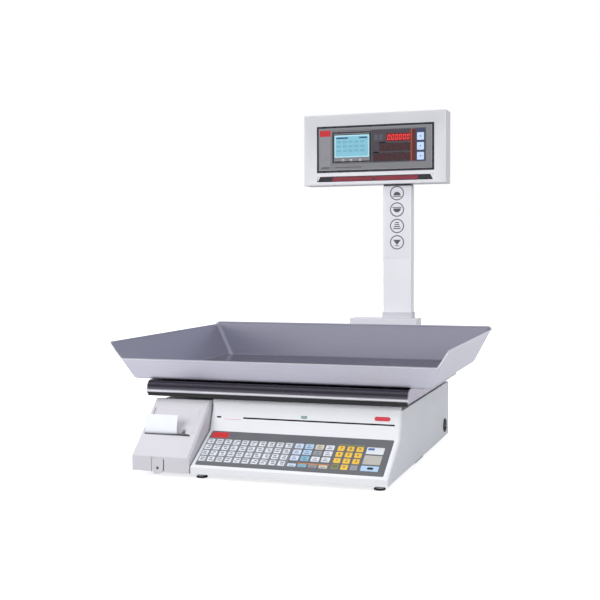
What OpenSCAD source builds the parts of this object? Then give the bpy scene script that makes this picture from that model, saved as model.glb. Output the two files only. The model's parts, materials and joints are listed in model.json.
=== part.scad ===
// Retail price scale: a white console with a sloped membrane keypad and a
// drawer-type label printer, a steel platter with a loose flared pan on it,
// and a swivelling display head on a post behind.
// Millimetres. X to the right, Y away from the operator, Z up.
// Each module is drawn with Y counted from the front of the console and with
// heights counted from a datum 4.5 mm under the soles of the feet. The origin is
// moved to the centre of the footprint on the bench at the very end.

/* [Console] */
// Width of the console
body_w = 380; // [378:1:390]
// Depth of the console
body_d = 440; // [436:1:446]
// Height of the deck above the datum
deck_z = 103; // [102:0.5:105]
// Height of the underside above the datum
under_z = 13; // [12.5:0.5:14]
// Height of the top of the short front lip above the datum
lip_z = 22.5; // [21:0.5:24]
// Distance from the front to the fold above the keypad
fold_y = 72; // [70:1:74]
// Height of the fold above the keypad
fold_z = 64; // [62:0.5:66]
// Wall thickness of the moulded shells
wall = 3; // [2.5:0.1:3.2]

/* [Keypad] */
// Width of the keypad film
keypad_w = 275; // [270:1:276]
// Height of the keypad film along the slope
keypad_h = 75; // [73:1:76]
// Distance between the rows of keys
key_row = 12.8; // [12:0.1:13.5]
// Height of one key
key_h = 10; // [9:0.5:11]

/* [Platter and pan] */
// Width of the steel platter
platter_w = 404; // [400:1:410]
// Depth of the steel platter
platter_d = 380; // [376:1:382]
// Radius of the rolled front and rear edges, which is also the skirt height
platter_r = 20; // [18:0.5:20]
// Height of the top of the platter
platter_z = 134.5; // [134:0.5:136]
// Thickness of the stainless sheet
sheet = 1.2; // [1:0.1:1.5]
// Width of the pan's flat bottom
pan_w = 461; // [450:1:462]
// Depth of the pan's flat bottom
pan_d = 388; // [380:1:390]
// Height of the side flanges
flange_h = 57; // [50:1:58]
// Height of the low front lip
front_lip_h = 32; // [28:1:36]
// How far the side flanges lean out
side_out = 30.5; // [26:0.5:31]
// How far the front corner leans out
front_out = 26; // [22:0.5:27]
// How far the back flange leans out
back_out = 8; // [4:0.5:9]

/* [Printer] */
// Width of the printer drawer
printer_w = 90; // [90:0.5:91]
// Width of the label paper
paper_w = 51; // [48:1:52]
// Radius of a full paper roll
roll_r = 33; // [25:1:33]

/* [Post and head] */
// Width of the post
post_w = 52; // [50:1:54]
// Depth of the post
post_t = 24.5; // [22:0.5:24.5]
// Height of the top of the post
post_top = 446.5; // [440:0.5:447]
// Distance of the post's centre line to the right of the middle
post_x = 85; // [83:1:88]
// Width of the display head
head_w = 263; // [258:1:266]
// Height of the display head
head_h = 128; // [126:1:130]
// Depth of the display head
head_d = 42; // [41:0.5:44]
// Height of the underside of the head
head_z = 449.5; // [449.5:0.5:452]

/* [Feet and switch] */
// Radius of a levelling foot
foot_r = 8.2; // [7:0.1:9]
// Radius of the power switch flange
switch_r = 11.5; // [11:0.1:12]

/* [Hidden] */
$fn = 48;

// Running clearance in radius of a turning pair, and the gap left between soft neighbours
run = 0.05;
gap = 0.3;
// A length that carries a cutting tool past a face
past = 1;

half_w = body_w / 2;
slope_a = atan2(fold_z - lip_z, fold_y);
panel_top_y = 86;
panel_a = atan2(deck_z - fold_z, panel_top_y - fold_y);
// Height of the soles of the feet above the datum
sole_z = 4.5;
// Place, length and height of the mains lamp on the upper panel
lamp_x = 46;
lamp_v = 25.6;
lamp_w = 9.6;
lamp_h = 4;
// Radius of the feet's studs
stud_r = 3;

// Keypad: thickness of the film, first row, and the groups from the left
film_t = 1;
key_y = 8;
item_x = 1.4;
item_pitch = 13.35;
item_w = 9.8;
function_x = 136;
function_pitch = 15.2;
function_w = 12.4;
number_x = 199.2;
number_pitch = 13.6;
number_w = 10;
wide_x = 241;
wide_w = 25;
wide_keys = [[8, 10.5], [21.5, 18.5], [43, 14]];

// Printer drawer
printer_x = -half_w;
drawer_a = 41.3;
drawer_lip_z = 34.5;
drawer_top_z = 106.5;
drawer_depth = 86;
shell = 2.5;
bay_x = printer_x + printer_w + 2;
paper_x = printer_x + 5.5;
slot_w = 68.5;
slot_t = 3.6;
slot_y = 32;
slot_z = drawer_lip_z + slot_y * tan(drawer_a);
roll_y = 118;
roll_z = 54;
platen_y = 49;
platen_z = 56;
platen_r = 7;
platen_teeth = 24;
pinion_teeth = 12;
gear_dist = (platen_teeth + pinion_teeth) / 2;
pinion_a = -100;
pinion_y = platen_y + gear_dist * cos(pinion_a);
pinion_z = platen_z + gear_dist * sin(pinion_a);
gear_x = printer_x + 61;
gear_w = 5;
slot_x = paper_x - 1;
tab_x = -150;
tab_w = 18;
tab_low = 9;
tab_face = 0.6;
tab_t = 2.4;
barrel_r = 2.6;
tab_pin_r = 1.5;
tab_pin_y = tab_face + barrel_r;
tab_pin_z = 31.4;

// Tray, cell and platter
tray_t = 1.5;
tray_top = under_z + tray_t;
platter_y = 72;
centre_y = platter_y + platter_d / 2;
cell_l = 130;
cell_w = 30;
cell_h = 22;
cell_z = 34;
cell_y = centre_y - cell_l / 2;
cell_end = 30;
pillar_top = 108;
spider_t = 7;
pan_y = 81.5;
pan_z = platter_z + 1.1;
feet = [[-88.5, 20], [174, 20], [-160, 375], [160, 375]];

// Post and head
head_x = post_x - 40.5 - head_w / 2;
head_y = 488;
overall_d = head_y + head_d;
post_y = 500;
post_c = post_y + post_t / 2;
bracket_x = 0;
bracket_w = 124;
bracket_z = 25;
bracket_top = 207;
bracket_t = 2.5;
upright_y = 484;
upright_d = 43;
arm_top = 95;
spigot_r = 8;
dish = 7;
window_w = 218;
window_h = 84;
window_x = head_x + (head_w - window_w) / 2;
window_z = head_z + 23.5;
split_y = head_y + 12;
head_bolts = [for (x = [10, head_w - 10], z = [10, head_h - 10]) [head_x + x, head_z + z]];

// Moves a piece from the drawing's zero to the final origin on the bench
module from_front() {
    translate([0, -overall_d / 2, -sole_z]) children();
}

// Extrudes a Y-Z outline along X from x0 over length w
module along_x(x0, w) {
    translate([x0, 0, 0]) rotate([90, 0, 90]) linear_extrude(w) children();
}

// A box given by its low and high corners
module span(lo, hi) {
    translate(lo) cube(hi - lo);
}

// Round bar along X, Y or Z from a point
module rod_x(p, r, l) {
    translate(p) rotate([0, 90, 0]) cylinder(r = r, h = l);
}

module rod_y(p, r, l) {
    translate(p) rotate([-90, 0, 0]) cylinder(r = r, h = l);
}

module rod_z(p, r, l) {
    translate(p) cylinder(r = r, h = l);
}

// Flat bar with round ends, w long and h high, centred
module pill(w, h) {
    square([w - h, h], center = true);
    for (s = [-1, 1]) translate([s * (w - h) / 2, 0]) circle(d = h);
}

// Frames lying on the keypad slope, the upper panel and the drawer slope:
// x along X, y up the slope, z out of the surface
module on_slope() {
    translate([0, 0, lip_z]) rotate([slope_a, 0, 0]) children();
}

module on_panel() {
    translate([0, fold_y, fold_z]) rotate([panel_a, 0, 0]) children();
}

module on_drawer() {
    translate([0, 0, drawer_lip_z]) rotate([drawer_a, 0, 0]) children();
}

// Point where the line through p at angle a meets the line through q at angle b
function meet(p, a, q, b) =
    let (d = [cos(a), sin(a)], e = [cos(b), sin(b)], r = q - p)
    p + d * (r.x * e.y - r.y * e.x) / (d.x * e.y - d.y * e.x);

// Point shifted by t to the inside of a line at angle a through p
function inside(p, a, t) = p + t * [sin(a), -cos(a)];

// Console outline pulled inwards by t, with its floor at z0
function console_outline(t, z0) =
    let (s = inside([0, lip_z], slope_a, t), u = inside([fold_y, fold_z], panel_a, t))
    [[t, z0], meet([t, 0], 90, s, slope_a), meet(s, slope_a, u, panel_a),
     meet(u, panel_a, [0, deck_z - t], 0), [body_d - t, deck_z - t], [body_d - t, z0]];

// Drawer front outline pulled inwards by t, with its floor at z0
function drawer_outline(t, z0, back) =
    let (s = inside([0, drawer_lip_z], drawer_a, t))
    [[t, z0], meet([t, 0], 90, s, drawer_a), meet(s, drawer_a, [0, drawer_top_z - t], 0),
     [back, drawer_top_z - t], [back, z0]];

// ---- Console ----

module base_tray() {
    flange = 14;
    color("gainsboro") from_front() difference() {
        union() {
            span([-half_w + wall + gap, 8, under_z], [half_w - wall - gap, body_d - wall - gap, tray_top]);
            // Upturned flanges on the right and at the back
            span([half_w - wall - gap - tray_t, 30, under_z], [half_w - wall - gap, 380, under_z + flange]);
            span([-half_w + 20, body_d - wall - gap - tray_t, under_z],
                 [half_w - 20, body_d - wall - gap, under_z + flange - 3]);
        }
        for (p = feet) rod_z([p.x, p.y, under_z - past], stud_r, tray_t + 2 * past);
        rod_z([0, cell_y + cell_l - cell_end / 2, under_z - past], 3, tray_t + 2 * past);
        // Cooling slots
        for (i = [0:7])
            span([60 + i * 12, 250, under_z - past], [64 + i * 12, 290, tray_top + past]);
    }
}

module housing() {
    color("whitesmoke") from_front() difference() {
        along_x(-half_w, body_w) polygon(console_outline(0, under_z));
        // Main cavity, right of the printer bay
        along_x(bay_x + wall, half_w - wall - bay_x - wall) polygon(console_outline(wall, under_z - past));
        // Cavity behind the bay
        span([-half_w + wall, drawer_depth + 2, under_z - past],
             [bay_x + wall + past, body_d - wall, deck_z - wall]);
        // Room for the tray under the wall beside the bay
        span([bay_x - past, 8 - gap, under_z - past],
             [bay_x + wall + past, drawer_depth + 3, tray_top + gap]);
        // The bay itself, open to the front, the top and the left
        span([-half_w - past, -past, under_z - past], [bay_x, drawer_depth + 2, deck_z + past]);
        // Opening in the deck for the load pillar
        span([-24, centre_y + 29, deck_z - wall - past], [24, centre_y + 71, deck_z + past]);
        // Shallow bed of the keypad film
        on_slope() translate([half_w - 8 - keypad_w - 0.5, 6, -0.6]) cube([keypad_w + 1, keypad_h + 1, 3]);
        // Tail slot for the keypad film's ribbon
        on_slope() translate([40, 30, -wall - 1]) cube([30, 3, wall + 2]);
        // Groove for the dark strip and its stub
        on_panel() translate([-48, 19, -1.5]) cube([229, 2.4, 3]);
        on_panel() translate([-90, 19, -1.5]) cube([7, 2.4, 3]);
        // Lamp window
        on_panel() translate([lamp_x, lamp_v, -wall - past]) linear_extrude(wall + 3) pill(lamp_w, lamp_h);
        // Switch hole
        rod_x([half_w - wall - past, 404, 32.4], 10, wall + 2 * past);
        // Rear panel cut-out and bracket holes
        span([-150, body_d - wall - past, 28], [-20, body_d + past, 72]);
        for (x = [16, 108], z = [40, 80])
            rod_y([bracket_x + x, body_d - wall - past, z], 3, wall + 2 * past);
        rod_y([post_x, body_d - wall - past, 60], 9, wall + 2 * past);
        // Side vents at the back left
        for (i = [0:9])
            span([-half_w - past, 300 + i * 10, 45], [-half_w + wall + past, 304 + i * 10, 80]);
    }
}

module accent_strip() {
    color([0.12, 0.12, 0.14]) from_front() {
        on_panel() translate([-47.7, 19.2, -1.5]) cube([228.4, 2, 1.3]);
        on_panel() translate([-89.7, 19.2, -1.5]) cube([6.4, 2, 1.3]);
    }
}

// Mains lamp: a dark cup behind the panel with a clear lens in its mouth
module lamp_cup() {
    rim = 0.5;
    color("darkslategray") from_front() on_panel() translate([lamp_x, lamp_v, -6]) difference() {
        linear_extrude(6) pill(lamp_w - 0.1, lamp_h - 0.1);
        translate([0, 0, 1]) linear_extrude(6) pill(lamp_w - 2 * rim, lamp_h - 2 * rim);
    }
}

module lamp_lens() {
    color("darkseagreen") from_front() on_panel() translate([lamp_x, lamp_v, -2])
        linear_extrude(2.3) pill(lamp_w - 1.1, lamp_h - 1.1);
}

module badge() {
    color("firebrick") from_front() on_panel() translate([162.5, 28.5, 0]) linear_extrude(0.8) pill(23, 6);
}

// One row of n embossed keys of size w by h from x at pitch px, y up the film
module key_line(x, y, n, px, w, h) {
    for (i = [0:n - 1]) translate([x + i * px, y, film_t - 0.1]) cube([w, h, 0.7]);
}

// Keypad origin: lower left corner of the film
module on_keypad() {
    on_slope() translate([half_w - 8 - keypad_w, 6.5, -0.6]) children();
}

module keypad_film() {
    color([0.35, 0.36, 0.38]) from_front() on_keypad() {
        cube([keypad_w, keypad_h, film_t]);
        for (j = [0:3]) {
            y = key_y + j * key_row;
            // Item keys, function keys (the lowest row is shallower) and number keys
            key_line(item_x, y, 10, item_pitch, item_w, key_h);
            key_line(function_x, y, 4, function_pitch, function_w, j == 0 ? key_h - 4 : key_h);
            key_line(number_x, y, 3, number_pitch, number_w, key_h);
        }
        // Wide keys: enter, total and clear
        for (k = wide_keys) key_line(wide_x, k[0], 1, 0, wide_w, k[1]);
    }
}

module keypad_board() {
    color("darkgreen") from_front() on_slope() translate([-80, 10, -wall - 5.6]) difference() {
        union() {
            cube([250, 66, 1.6]);
            translate([110, 20, -8]) cube([40, 6, 8]);
            for (x = [4, 240]) translate([x, 6, 1.6]) cube([6, 54, 4]);
        }
        for (x = [7, 243], y = [10, 56]) translate([x, y, -past]) cylinder(r = 1.6, h = 7.6);
    }
}

// ---- Feet ----

module foot(i) {
    color([0.15, 0.15, 0.16]) from_front() translate([feet[i].x, feet[i].y, 0]) {
        disc_top = sole_z + 2.3;
        hub_r = 5.8;
        stud = stud_r - run;
        rotate_extrude() polygon([[0, sole_z], [foot_r - 0.8, sole_z], [foot_r, sole_z + 0.8],
            [foot_r, disc_top], [hub_r, disc_top], [hub_r, under_z - 0.7], [stud, under_z - 0.7],
            [stud, 24], [0, 24]]);
    }
}

module foot_front_left() { foot(0); }
module foot_front_right() { foot(1); }
module foot_rear_left() { foot(2); }
module foot_rear_right() { foot(3); }

module foot_nuts() {
    color("silver") from_front() for (p = feet) translate([p.x, p.y, tray_top]) difference() {
        cylinder(r = 5.75, h = 5, $fn = 6);
        translate([0, 0, -past]) cylinder(r = stud_r, h = 5 + 2 * past);
    }
}

// ---- Weighing chain ----

module load_cell() {
    color("lightgray") from_front() difference() {
        span([-cell_w / 2, cell_y, cell_z], [cell_w / 2, cell_y + cell_l, cell_z + cell_h]);
        // Two crossed bores and the slot between them
        for (dy = [-14, 14])
            rod_x([-cell_w / 2 - past, centre_y + dy, cell_z + cell_h / 2], 8, cell_w + 2 * past);
        span([-cell_w / 2 - past, centre_y - 14, cell_z + cell_h / 2 - 2],
             [cell_w / 2 + past, centre_y + 14, cell_z + cell_h / 2 + 2]);
        for (x = [-8, 8], y = [cell_y + 8, cell_y + 22])
            rod_z([x, y, cell_z - past], 3.1, cell_h + 2 * past);
        for (x = [-8, 8], y = [cell_y + cell_l - 22, cell_y + cell_l - 8])
            rod_z([x, y, cell_z + 8], 3.1, cell_h);
    }
}

module cell_base_block() {
    color("darkgray") from_front() difference() {
        span([-25, cell_y - 10, tray_top], [25, cell_y + cell_end, cell_z]);
        for (x = [-8, 8], y = [cell_y + 8, cell_y + 22])
            rod_z([x, y, tray_top + 2], 3.1, cell_z);
    }
}

module cell_screws() {
    color("dimgray") from_front() {
        for (x = [-8, 8], y = [cell_y + 8, cell_y + 22]) {
            rod_z([x, y, tray_top + 4], 3, cell_z + cell_h - tray_top - 4);
            rod_z([x, y, cell_z + cell_h], 5, 5);
        }
    }
}

module stop_screw() {
    y = cell_y + cell_l - cell_end / 2;
    color("goldenrod") from_front() {
        rod_z([0, y, under_z - 1], 2.95, cell_z - gap - 0.7 - under_z + 1);
        translate([0, y, tray_top]) difference() {
            cylinder(r = 5.8, h = 4, $fn = 6);
            translate([0, 0, -past]) cylinder(r = 2.95, h = 6);
        }
    }
}

module load_pillar() {
    y = cell_y + cell_l - cell_end;
    color("darkgray") from_front() difference() {
        span([-15, y, cell_z + cell_h], [15, y + cell_end, pillar_top]);
        for (x = [-8, 8], dy = [8, 22])
            rod_z([x, y + dy, cell_z + cell_h - past], 3.1, 60);
        span([-6, y - past, cell_z + cell_h + 14], [6, y + cell_end + past, pillar_top - 10]);
    }
}

// Spider arm ends, square around the platter's centre
arm_x = 150;
arm_y = 130;

module spider() {
    arm_w = 24;
    arm_l = norm([arm_x, arm_y]);
    color([0.62, 0.64, 0.66]) from_front() translate([0, centre_y, pillar_top]) difference() {
        union() {
            span([-32, -34, 0], [32, 66, spider_t]);
            for (sx = [-1, 1], sy = [-1, 1]) {
                rotate([0, 0, atan2(sy * arm_y, sx * arm_x)]) {
                    translate([0, -arm_w / 2, 0]) cube([arm_l, arm_w, spider_t - 2]);
                    translate([0, -3, 0]) cube([arm_l - 10, 6, spider_t + 6]);
                }
                translate([sx * arm_x, sy * arm_y, 0]) cylinder(r = 15, h = spider_t + 6);
            }
        }
        for (sx = [-1, 1], sy = [-1, 1])
            translate([sx * arm_x, sy * arm_y, 3]) cylinder(r = 9, h = 30);
        for (x = [-8, 8], y = [43, 57]) translate([x, y, -past]) cylinder(r = 3.1, h = 30);
    }
}

module platter_buffers() {
    top = platter_z - sheet;
    color([0.2, 0.2, 0.2]) from_front() for (sx = [-1, 1], sy = [-1, 1])
        translate([sx * arm_x, centre_y + sy * arm_y, pillar_top + 3])
            rotate_extrude() polygon([[0, 0], [8.9, 0], [8.9, 10.2], [12, 10.2], [12, top - pillar_top - 4],
                [11, top - pillar_top - 3], [0, top - pillar_top - 3]]);
}

// Side view of the platter: flat top with quarter-round front and rear, standing
// on a straight part of height drop
module platter_outline(r, d, drop) {
    translate([0, -drop]) square([d, drop]);
    translate([r, 0]) square([d - 2 * r, r]);
    for (y = [r, d - r]) intersection() {
        translate([y, 0]) circle(r = r, $fn = 96);
        translate([0, -drop / 2]) square([d, r + drop]);
    }
}

module platter() {
    foot = 3.5;
    inner_r = platter_r - foot - sheet;
    color("silver") from_front() translate([0, platter_y, platter_z - platter_r + foot]) {
        along_x(-platter_w / 2, platter_w) difference() {
            platter_outline(platter_r - foot, platter_d, foot);
            translate([sheet, 0]) platter_outline(inner_r, platter_d - 2 * sheet, foot + past);
        }
        for (x = [-platter_w / 2, platter_w / 2 - sheet])
            along_x(x, sheet) platter_outline(platter_r - foot, platter_d, foot);
    }
}

// Flared block: bottom rectangle grown by the lean of each side at height h.
// k shrinks the walls inwards; z0 lifts the bottom.
module flared(k, z0, h) {
    f = z0 / flange_h;
    g = h / flange_h;
    x0 = pan_w / 2 + side_out * f - k;
    x1 = pan_w / 2 + side_out * g - k;
    yf0 = -front_out * f + k;
    yf1 = -front_out * g + k;
    yb0 = pan_d + back_out * f - k;
    yb1 = pan_d + back_out * g - k;
    polyhedron(
        points = [[-x0, yf0, z0], [x0, yf0, z0], [x0, yb0, z0], [-x0, yb0, z0],
                  [-x1, yf1, h], [x1, yf1, h], [x1, yb1, h], [-x1, yb1, h]],
        faces = [[0, 1, 2, 3], [7, 6, 5, 4], [0, 4, 5, 1], [1, 5, 6, 2], [2, 6, 7, 3], [3, 7, 4, 0]]);
}

module pan() {
    k = sheet * 1.1;
    rise = 6;
    color([0.8, 0.8, 0.84]) from_front() translate([0, pan_y, pan_z]) difference() {
        union() {
            flared(0, 0, flange_h);
            // The back flange stands a little higher than the sides
            intersection() {
                flared(0, 0, flange_h + rise);
                span([-pan_w, pan_d - 2, 0], [pan_w, pan_d + 40, flange_h + rise]);
            }
        }
        flared(k, sheet, flange_h + rise + past);
        // Low front lip: the front wall ends part-way up between the side flanges
        intersection() {
            flared(k, front_lip_h, flange_h + past);
            span([-pan_w, -60, front_lip_h], [pan_w, 60, flange_h + 5]);
        }
        translate([0, -k - 2, 0]) intersection() {
            flared(k, front_lip_h, flange_h + past);
            span([-pan_w, -60, front_lip_h], [pan_w, 60, flange_h + 5]);
        }
    }
}

module pan_pads() {
    color([0.25, 0.25, 0.25]) from_front() for (x = [-150, 150], y = [110, 410])
        rod_z([x, y, platter_z], 12, pan_z - platter_z);
}

// ---- Electronics ----

module main_board() {
    color("seagreen") from_front() translate([30, 100, 24]) difference() {
        union() {
            cube([130, 110, 1.6]);
            for (x = [5, 125], y = [5, 105])
                translate([x, y, tray_top - 24]) cylinder(r = 3, h = 24 - tray_top);
            translate([20, 30, 1.6]) cube([22, 22, 2]);
            translate([55, 25, 1.6]) cube([16, 30, 2]);
            translate([85, 20, 1.6]) cube([16, 30, 2]);
            for (i = [0:3]) translate([20 + i * 14, 85, 1.6]) cylinder(r = 4, h = 12);
            translate([100, 70, 1.6]) cube([10, 34, 9]);
            translate([4, 40, 1.6]) cube([9, 40, 9]);
        }
        for (x = [5, 125], y = [5, 105]) translate([x, y, -past]) cylinder(r = 1.6, h = 5);
    }
}

module power_supply() {
    color("lightsteelblue") from_front() difference() {
        span([40, 320, tray_top], [150, 425, 54]);
        span([42, 322, tray_top + 2], [148, 423, 52]);
        for (i = [0:7]) span([50 + i * 12, 330, 50], [55 + i * 12, 380, 56]);
    }
}

module battery() {
    color([0.2, 0.22, 0.28]) from_front() {
        span([-150, 300, tray_top], [-80, 370, tray_top + 68]);
        for (x = [-138, -92]) span([x - 3, 330, tray_top + 68], [x + 3, 331, tray_top + 74]);
    }
}

module rear_panel() {
    color("silver") from_front() difference() {
        span([-155, body_d - wall - 1.5, 24], [-15, body_d - wall, 76]);
        // Mains inlet, serial port and network port openings
        span([-64, body_d - wall - 3, 38], [-36, body_d, 62]);
        span([-145, body_d - wall - 3, 45], [-127, body_d, 57]);
        span([-108, body_d - wall - 3, 43], [-92, body_d, 58]);
        for (x = [-151, -19], z = [28, 72]) rod_y([x, body_d - wall - 3, z], 1.6, 6);
    }
}

module mains_inlet() {
    y = body_d - wall;
    color([0.1, 0.1, 0.1]) from_front() {
        difference() {
            union() {
                span([-63.7, y - 22, 38.3], [-36.3, y, 61.7]);
                span([-68, y, 35], [-32, y + 1.8, 65]);
            }
            span([-61, y - 16, 41], [-39, y + 3, 59]);
        }
        for (p = [[-57, 48], [-50, 52], [-43, 48]])
            span([p.x - 1, y - 16.5, p.y - 2.5], [p.x + 1, y - 2, p.y + 2.5]);
    }
}

module data_ports() {
    y = body_d - wall;
    color("gray") from_front() {
        difference() {
            union() {
                span([-144.8, y - 12, 45.2], [-127.2, y + 1.5, 56.8]);
                span([-151, y - 2.5, 44], [-121, y - 1.5, 58]);
            }
            span([-143, y - 8, 46.6], [-129, y + 3, 55.4]);
        }
        difference() {
            span([-107.8, y - 16, 43.2], [-92.2, y + 1, 57.8]);
            span([-106, y - 12, 45], [-94, y + 3, 56]);
        }
    }
}

module switch_bezel() {
    color([0.12, 0.12, 0.13]) from_front() translate([half_w, 404, 32.4]) rotate([0, 90, 0]) difference() {
        union() {
            cylinder(r = switch_r, h = 2);
            translate([0, 0, -18]) cylinder(r = 9.9, h = 18);
            translate([0, 0, -26]) translate([-6, -6, 0]) cube([12, 12, 9]);
        }
        translate([-7.5, -5.2, -14]) cube([15, 10.4, 20]);
    }
}

// Rocker: a pillow between two flats that turns about Y at the bezel's face
module switch_rocker() {
    color([0.16, 0.16, 0.17]) from_front() translate([half_w - 1, 404, 32.4]) rotate([90, 0, 0])
        rotate([0, 0, 10]) translate([0, 0, -4.8]) linear_extrude(9.6) difference() {
            intersection() {
                circle(r = 6.8);
                translate([-4, -7]) square([8, 14]);
            }
            translate([11.5, 0]) circle(r = 9);
        }
}

// ---- Post ----

module bracket_outline(t) {
    y0 = body_d + t;
    y1 = upright_y + t;
    y2 = upright_y + upright_d - t;
    polygon([[y0, bracket_z + t], [y2, bracket_z + t], [y2, bracket_top - t], [y1, bracket_top - t],
             [y1, arm_top - t], [y0, arm_top - t]]);
}

module post_bracket() {
    color("whitesmoke") from_front() difference() {
        along_x(bracket_x, bracket_w) bracket_outline(0);
        along_x(bracket_x + bracket_t, bracket_w - 2 * bracket_t) bracket_outline(bracket_t);
        // Mouth for the post
        span([post_x - post_w / 2, post_y, bracket_top - bracket_t - past],
             [post_x + post_w / 2, post_y + post_t, bracket_top + past]);
        // Holes to the console, the cable hole and the post's screw holes
        for (x = [16, 108], z = [40, 80]) {
            rod_y([bracket_x + x, body_d - past, z], 3, bracket_t + 2 * past);
            rod_y([bracket_x + x, upright_y + upright_d - bracket_t - past, z], 6, bracket_t + 2 * past);
        }
        rod_y([post_x, body_d - past, 60], 9, bracket_t + 2 * past);
        for (z = [130, 180]) rod_y([post_x, upright_y + upright_d - bracket_t - past, z], 2.6, 5);
    }
}

module bracket_screws() {
    color("silver") from_front() for (x = [16, 108], z = [40, 80]) {
        rod_y([bracket_x + x, body_d - wall - 6, z], 2.9, wall + 6 + bracket_t);
        rod_y([bracket_x + x, body_d + bracket_t, z], 5, 3);
    }
}

module post() {
    t = 2;
    low = 112;
    color([0.9, 0.9, 0.93]) from_front() difference() {
        span([post_x - post_w / 2 + run, post_y + run, low],
             [post_x + post_w / 2 - run, post_y + post_t, post_top]);
        span([post_x - post_w / 2 + t, post_y + t, low - past],
             [post_x + post_w / 2 - t, post_y + post_t - t, post_top + past]);
        for (z = [130, 180]) rod_y([post_x, post_y + post_t - t - past, z], 2.6, t + 2 * past);
    }
}

module post_boot() {
    color([0.8, 0.81, 0.84]) from_front() difference() {
        span([post_x - post_w / 2 - 1.5, post_y - 1.5, bracket_top],
             [post_x + post_w / 2 + 1.5, post_y + post_t + 1.5, bracket_top + 11]);
        span([post_x - post_w / 2, post_y, bracket_top - past],
             [post_x + post_w / 2, post_y + post_t, bracket_top + 12]);
    }
}

module post_screws() {
    color("silver") from_front() for (z = [130, 180]) {
        rod_y([post_x, post_y + post_t - 6, z], 2.5, 6 + bracket_t);
        rod_y([post_x, upright_y + upright_d, z], 4.6, 2.4);
    }
}

module post_label() {
    color("white") from_front() difference() {
        span([post_x - 22, post_y + run - 0.4, 316], [post_x + 22, post_y + run, 446]);
        // Four rings, one per pictogram
        for (z = [433, 403.5, 374, 344.5]) difference() {
            rod_y([post_x, post_y - 1.35, z], 13 - 0.6, 1.2);
            rod_y([post_x, post_y - 2, z], 11.6, 3);
        }
    }
}

// Cable from the console through the bracket and up the post
module post_cable() {
    r = 3;
    elbow = 12;
    z = 60;
    color([0.15, 0.15, 0.15]) from_front() {
        rod_y([post_x, body_d - 30, z], r, post_c - elbow - body_d + 30);
        translate([post_x, post_c - elbow, z + elbow]) rotate([90, 0, 90]) rotate([0, 0, -90])
            rotate_extrude(angle = 90) translate([elbow, 0]) circle(r = r);
        rod_z([post_x, post_c, z + elbow], r, 470 - z - elbow);
    }
}

module swivel_collar() {
    color([0.2, 0.2, 0.22]) from_front() difference() {
        union() {
            span([post_x - post_w / 2 + 2.1, post_y + 2.1, post_top - 26],
                 [post_x + post_w / 2 - 2.1, post_y + post_t - 2.1, post_top]);
            span([post_x - post_w / 2 + 1, post_y + 1, post_top],
                 [post_x + post_w / 2 - 1, post_y + post_t - 1, head_z - gap]);
        }
        rod_z([post_x, post_c, post_top - 30], spigot_r, 50);
    }
}

// ---- Display head ----

module swivel_spigot() {
    color("silver") from_front() difference() {
        union() {
            rod_z([post_x, post_c, post_top - 22], spigot_r - run, head_z - post_top + 22 + shell);
            rod_z([post_x, post_c, head_z + shell], 11, 4);
        }
        rod_z([post_x, post_c, post_top - 30], 5, 60);
    }
}

// Block of the head between two depths, pulled in by t on every side
module head_block(y0, y1, t) {
    span([head_x + t, y0, head_z + t], [head_x + head_w - t, y1, head_z + head_h - t]);
}

// Sloping rim that runs from the outer edge in to the window, carried on 1 mm
// past the front face at the same slopes
module dish_cut() {
    rim = 3;
    inner = 1.5;
    low = [head_x + rim, head_z + rim];
    high = [head_x + head_w - rim, head_z + head_h - rim];
    seat_low = [window_x - inner, window_z - inner];
    seat_high = [window_x + window_w + inner, window_z + window_h + inner];
    a = low + (low - seat_low) / dish;
    b = high + (high - seat_high) / dish;
    y0 = head_y - 1;
    y1 = head_y + dish;
    polyhedron(
        points = [[a.x, y0, a.y], [b.x, y0, a.y], [b.x, y0, b.y], [a.x, y0, b.y],
                  [seat_low.x, y1, seat_low.y], [seat_high.x, y1, seat_low.y],
                  [seat_high.x, y1, seat_high.y], [seat_low.x, y1, seat_high.y]],
        faces = [[3, 2, 1, 0], [4, 5, 6, 7], [0, 1, 5, 4], [1, 2, 6, 5], [2, 3, 7, 6], [3, 0, 4, 7]]);
}

strip_z = head_z + 6;
strip_h = 10;

module head_front() {
    color("whitesmoke") from_front() difference() {
        union() {
            difference() {
                head_block(head_y, split_y, 0);
                head_block(head_y + dish + shell, split_y + past, shell);
            }
            // Screw bosses
            for (p = head_bolts) rod_y([p.x, head_y + dish + 1, p.y], 3.6, 16);
        }
        dish_cut();
        // Seat of the window
        span([window_x - 0.2, head_y + dish - past, window_z - 0.2],
             [window_x + window_w + 0.2, head_y + dish + 1.5, window_z + window_h + 0.2]);
        for (p = head_bolts) rod_y([p.x, head_y + dish + 3, p.y], 1.62, 20);
        // Opening behind the window and the strip's slot
        span([window_x + 4, head_y, window_z + 4],
             [window_x + window_w - 4, split_y, window_z + window_h - 4]);
        span([window_x + 1, head_y - past, strip_z],
             [window_x + window_w - 1, head_y + 8, strip_z + strip_h]);
    }
}

module head_back() {
    color([0.93, 0.93, 0.95]) from_front() difference() {
        head_block(split_y, head_y + head_d, 0);
        head_block(split_y - past, head_y + head_d - shell, shell);
        // Rear window opening
        span([head_x + 26, head_y + head_d - shell - past, window_z + 4],
             [head_x + head_w - 26, head_y + head_d + past, window_z + window_h - 4]);
        // Spigot hole
        rod_z([post_x, post_c, head_z - past], spigot_r, shell + 2 * past);
        // Vents in the underside
        for (i = [0:9])
            span([head_x + 20 + i * 9, head_y + 24, head_z - past],
                 [head_x + 23 + i * 9, head_y + 34, head_z + shell + past]);
        for (p = head_bolts) {
            rod_y([p.x, head_y + head_d - 5, p.y], 1.7, 6);
            rod_y([p.x, head_y + head_d - 1.5, p.y], 3.1, 3);
        }
    }
}

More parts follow.
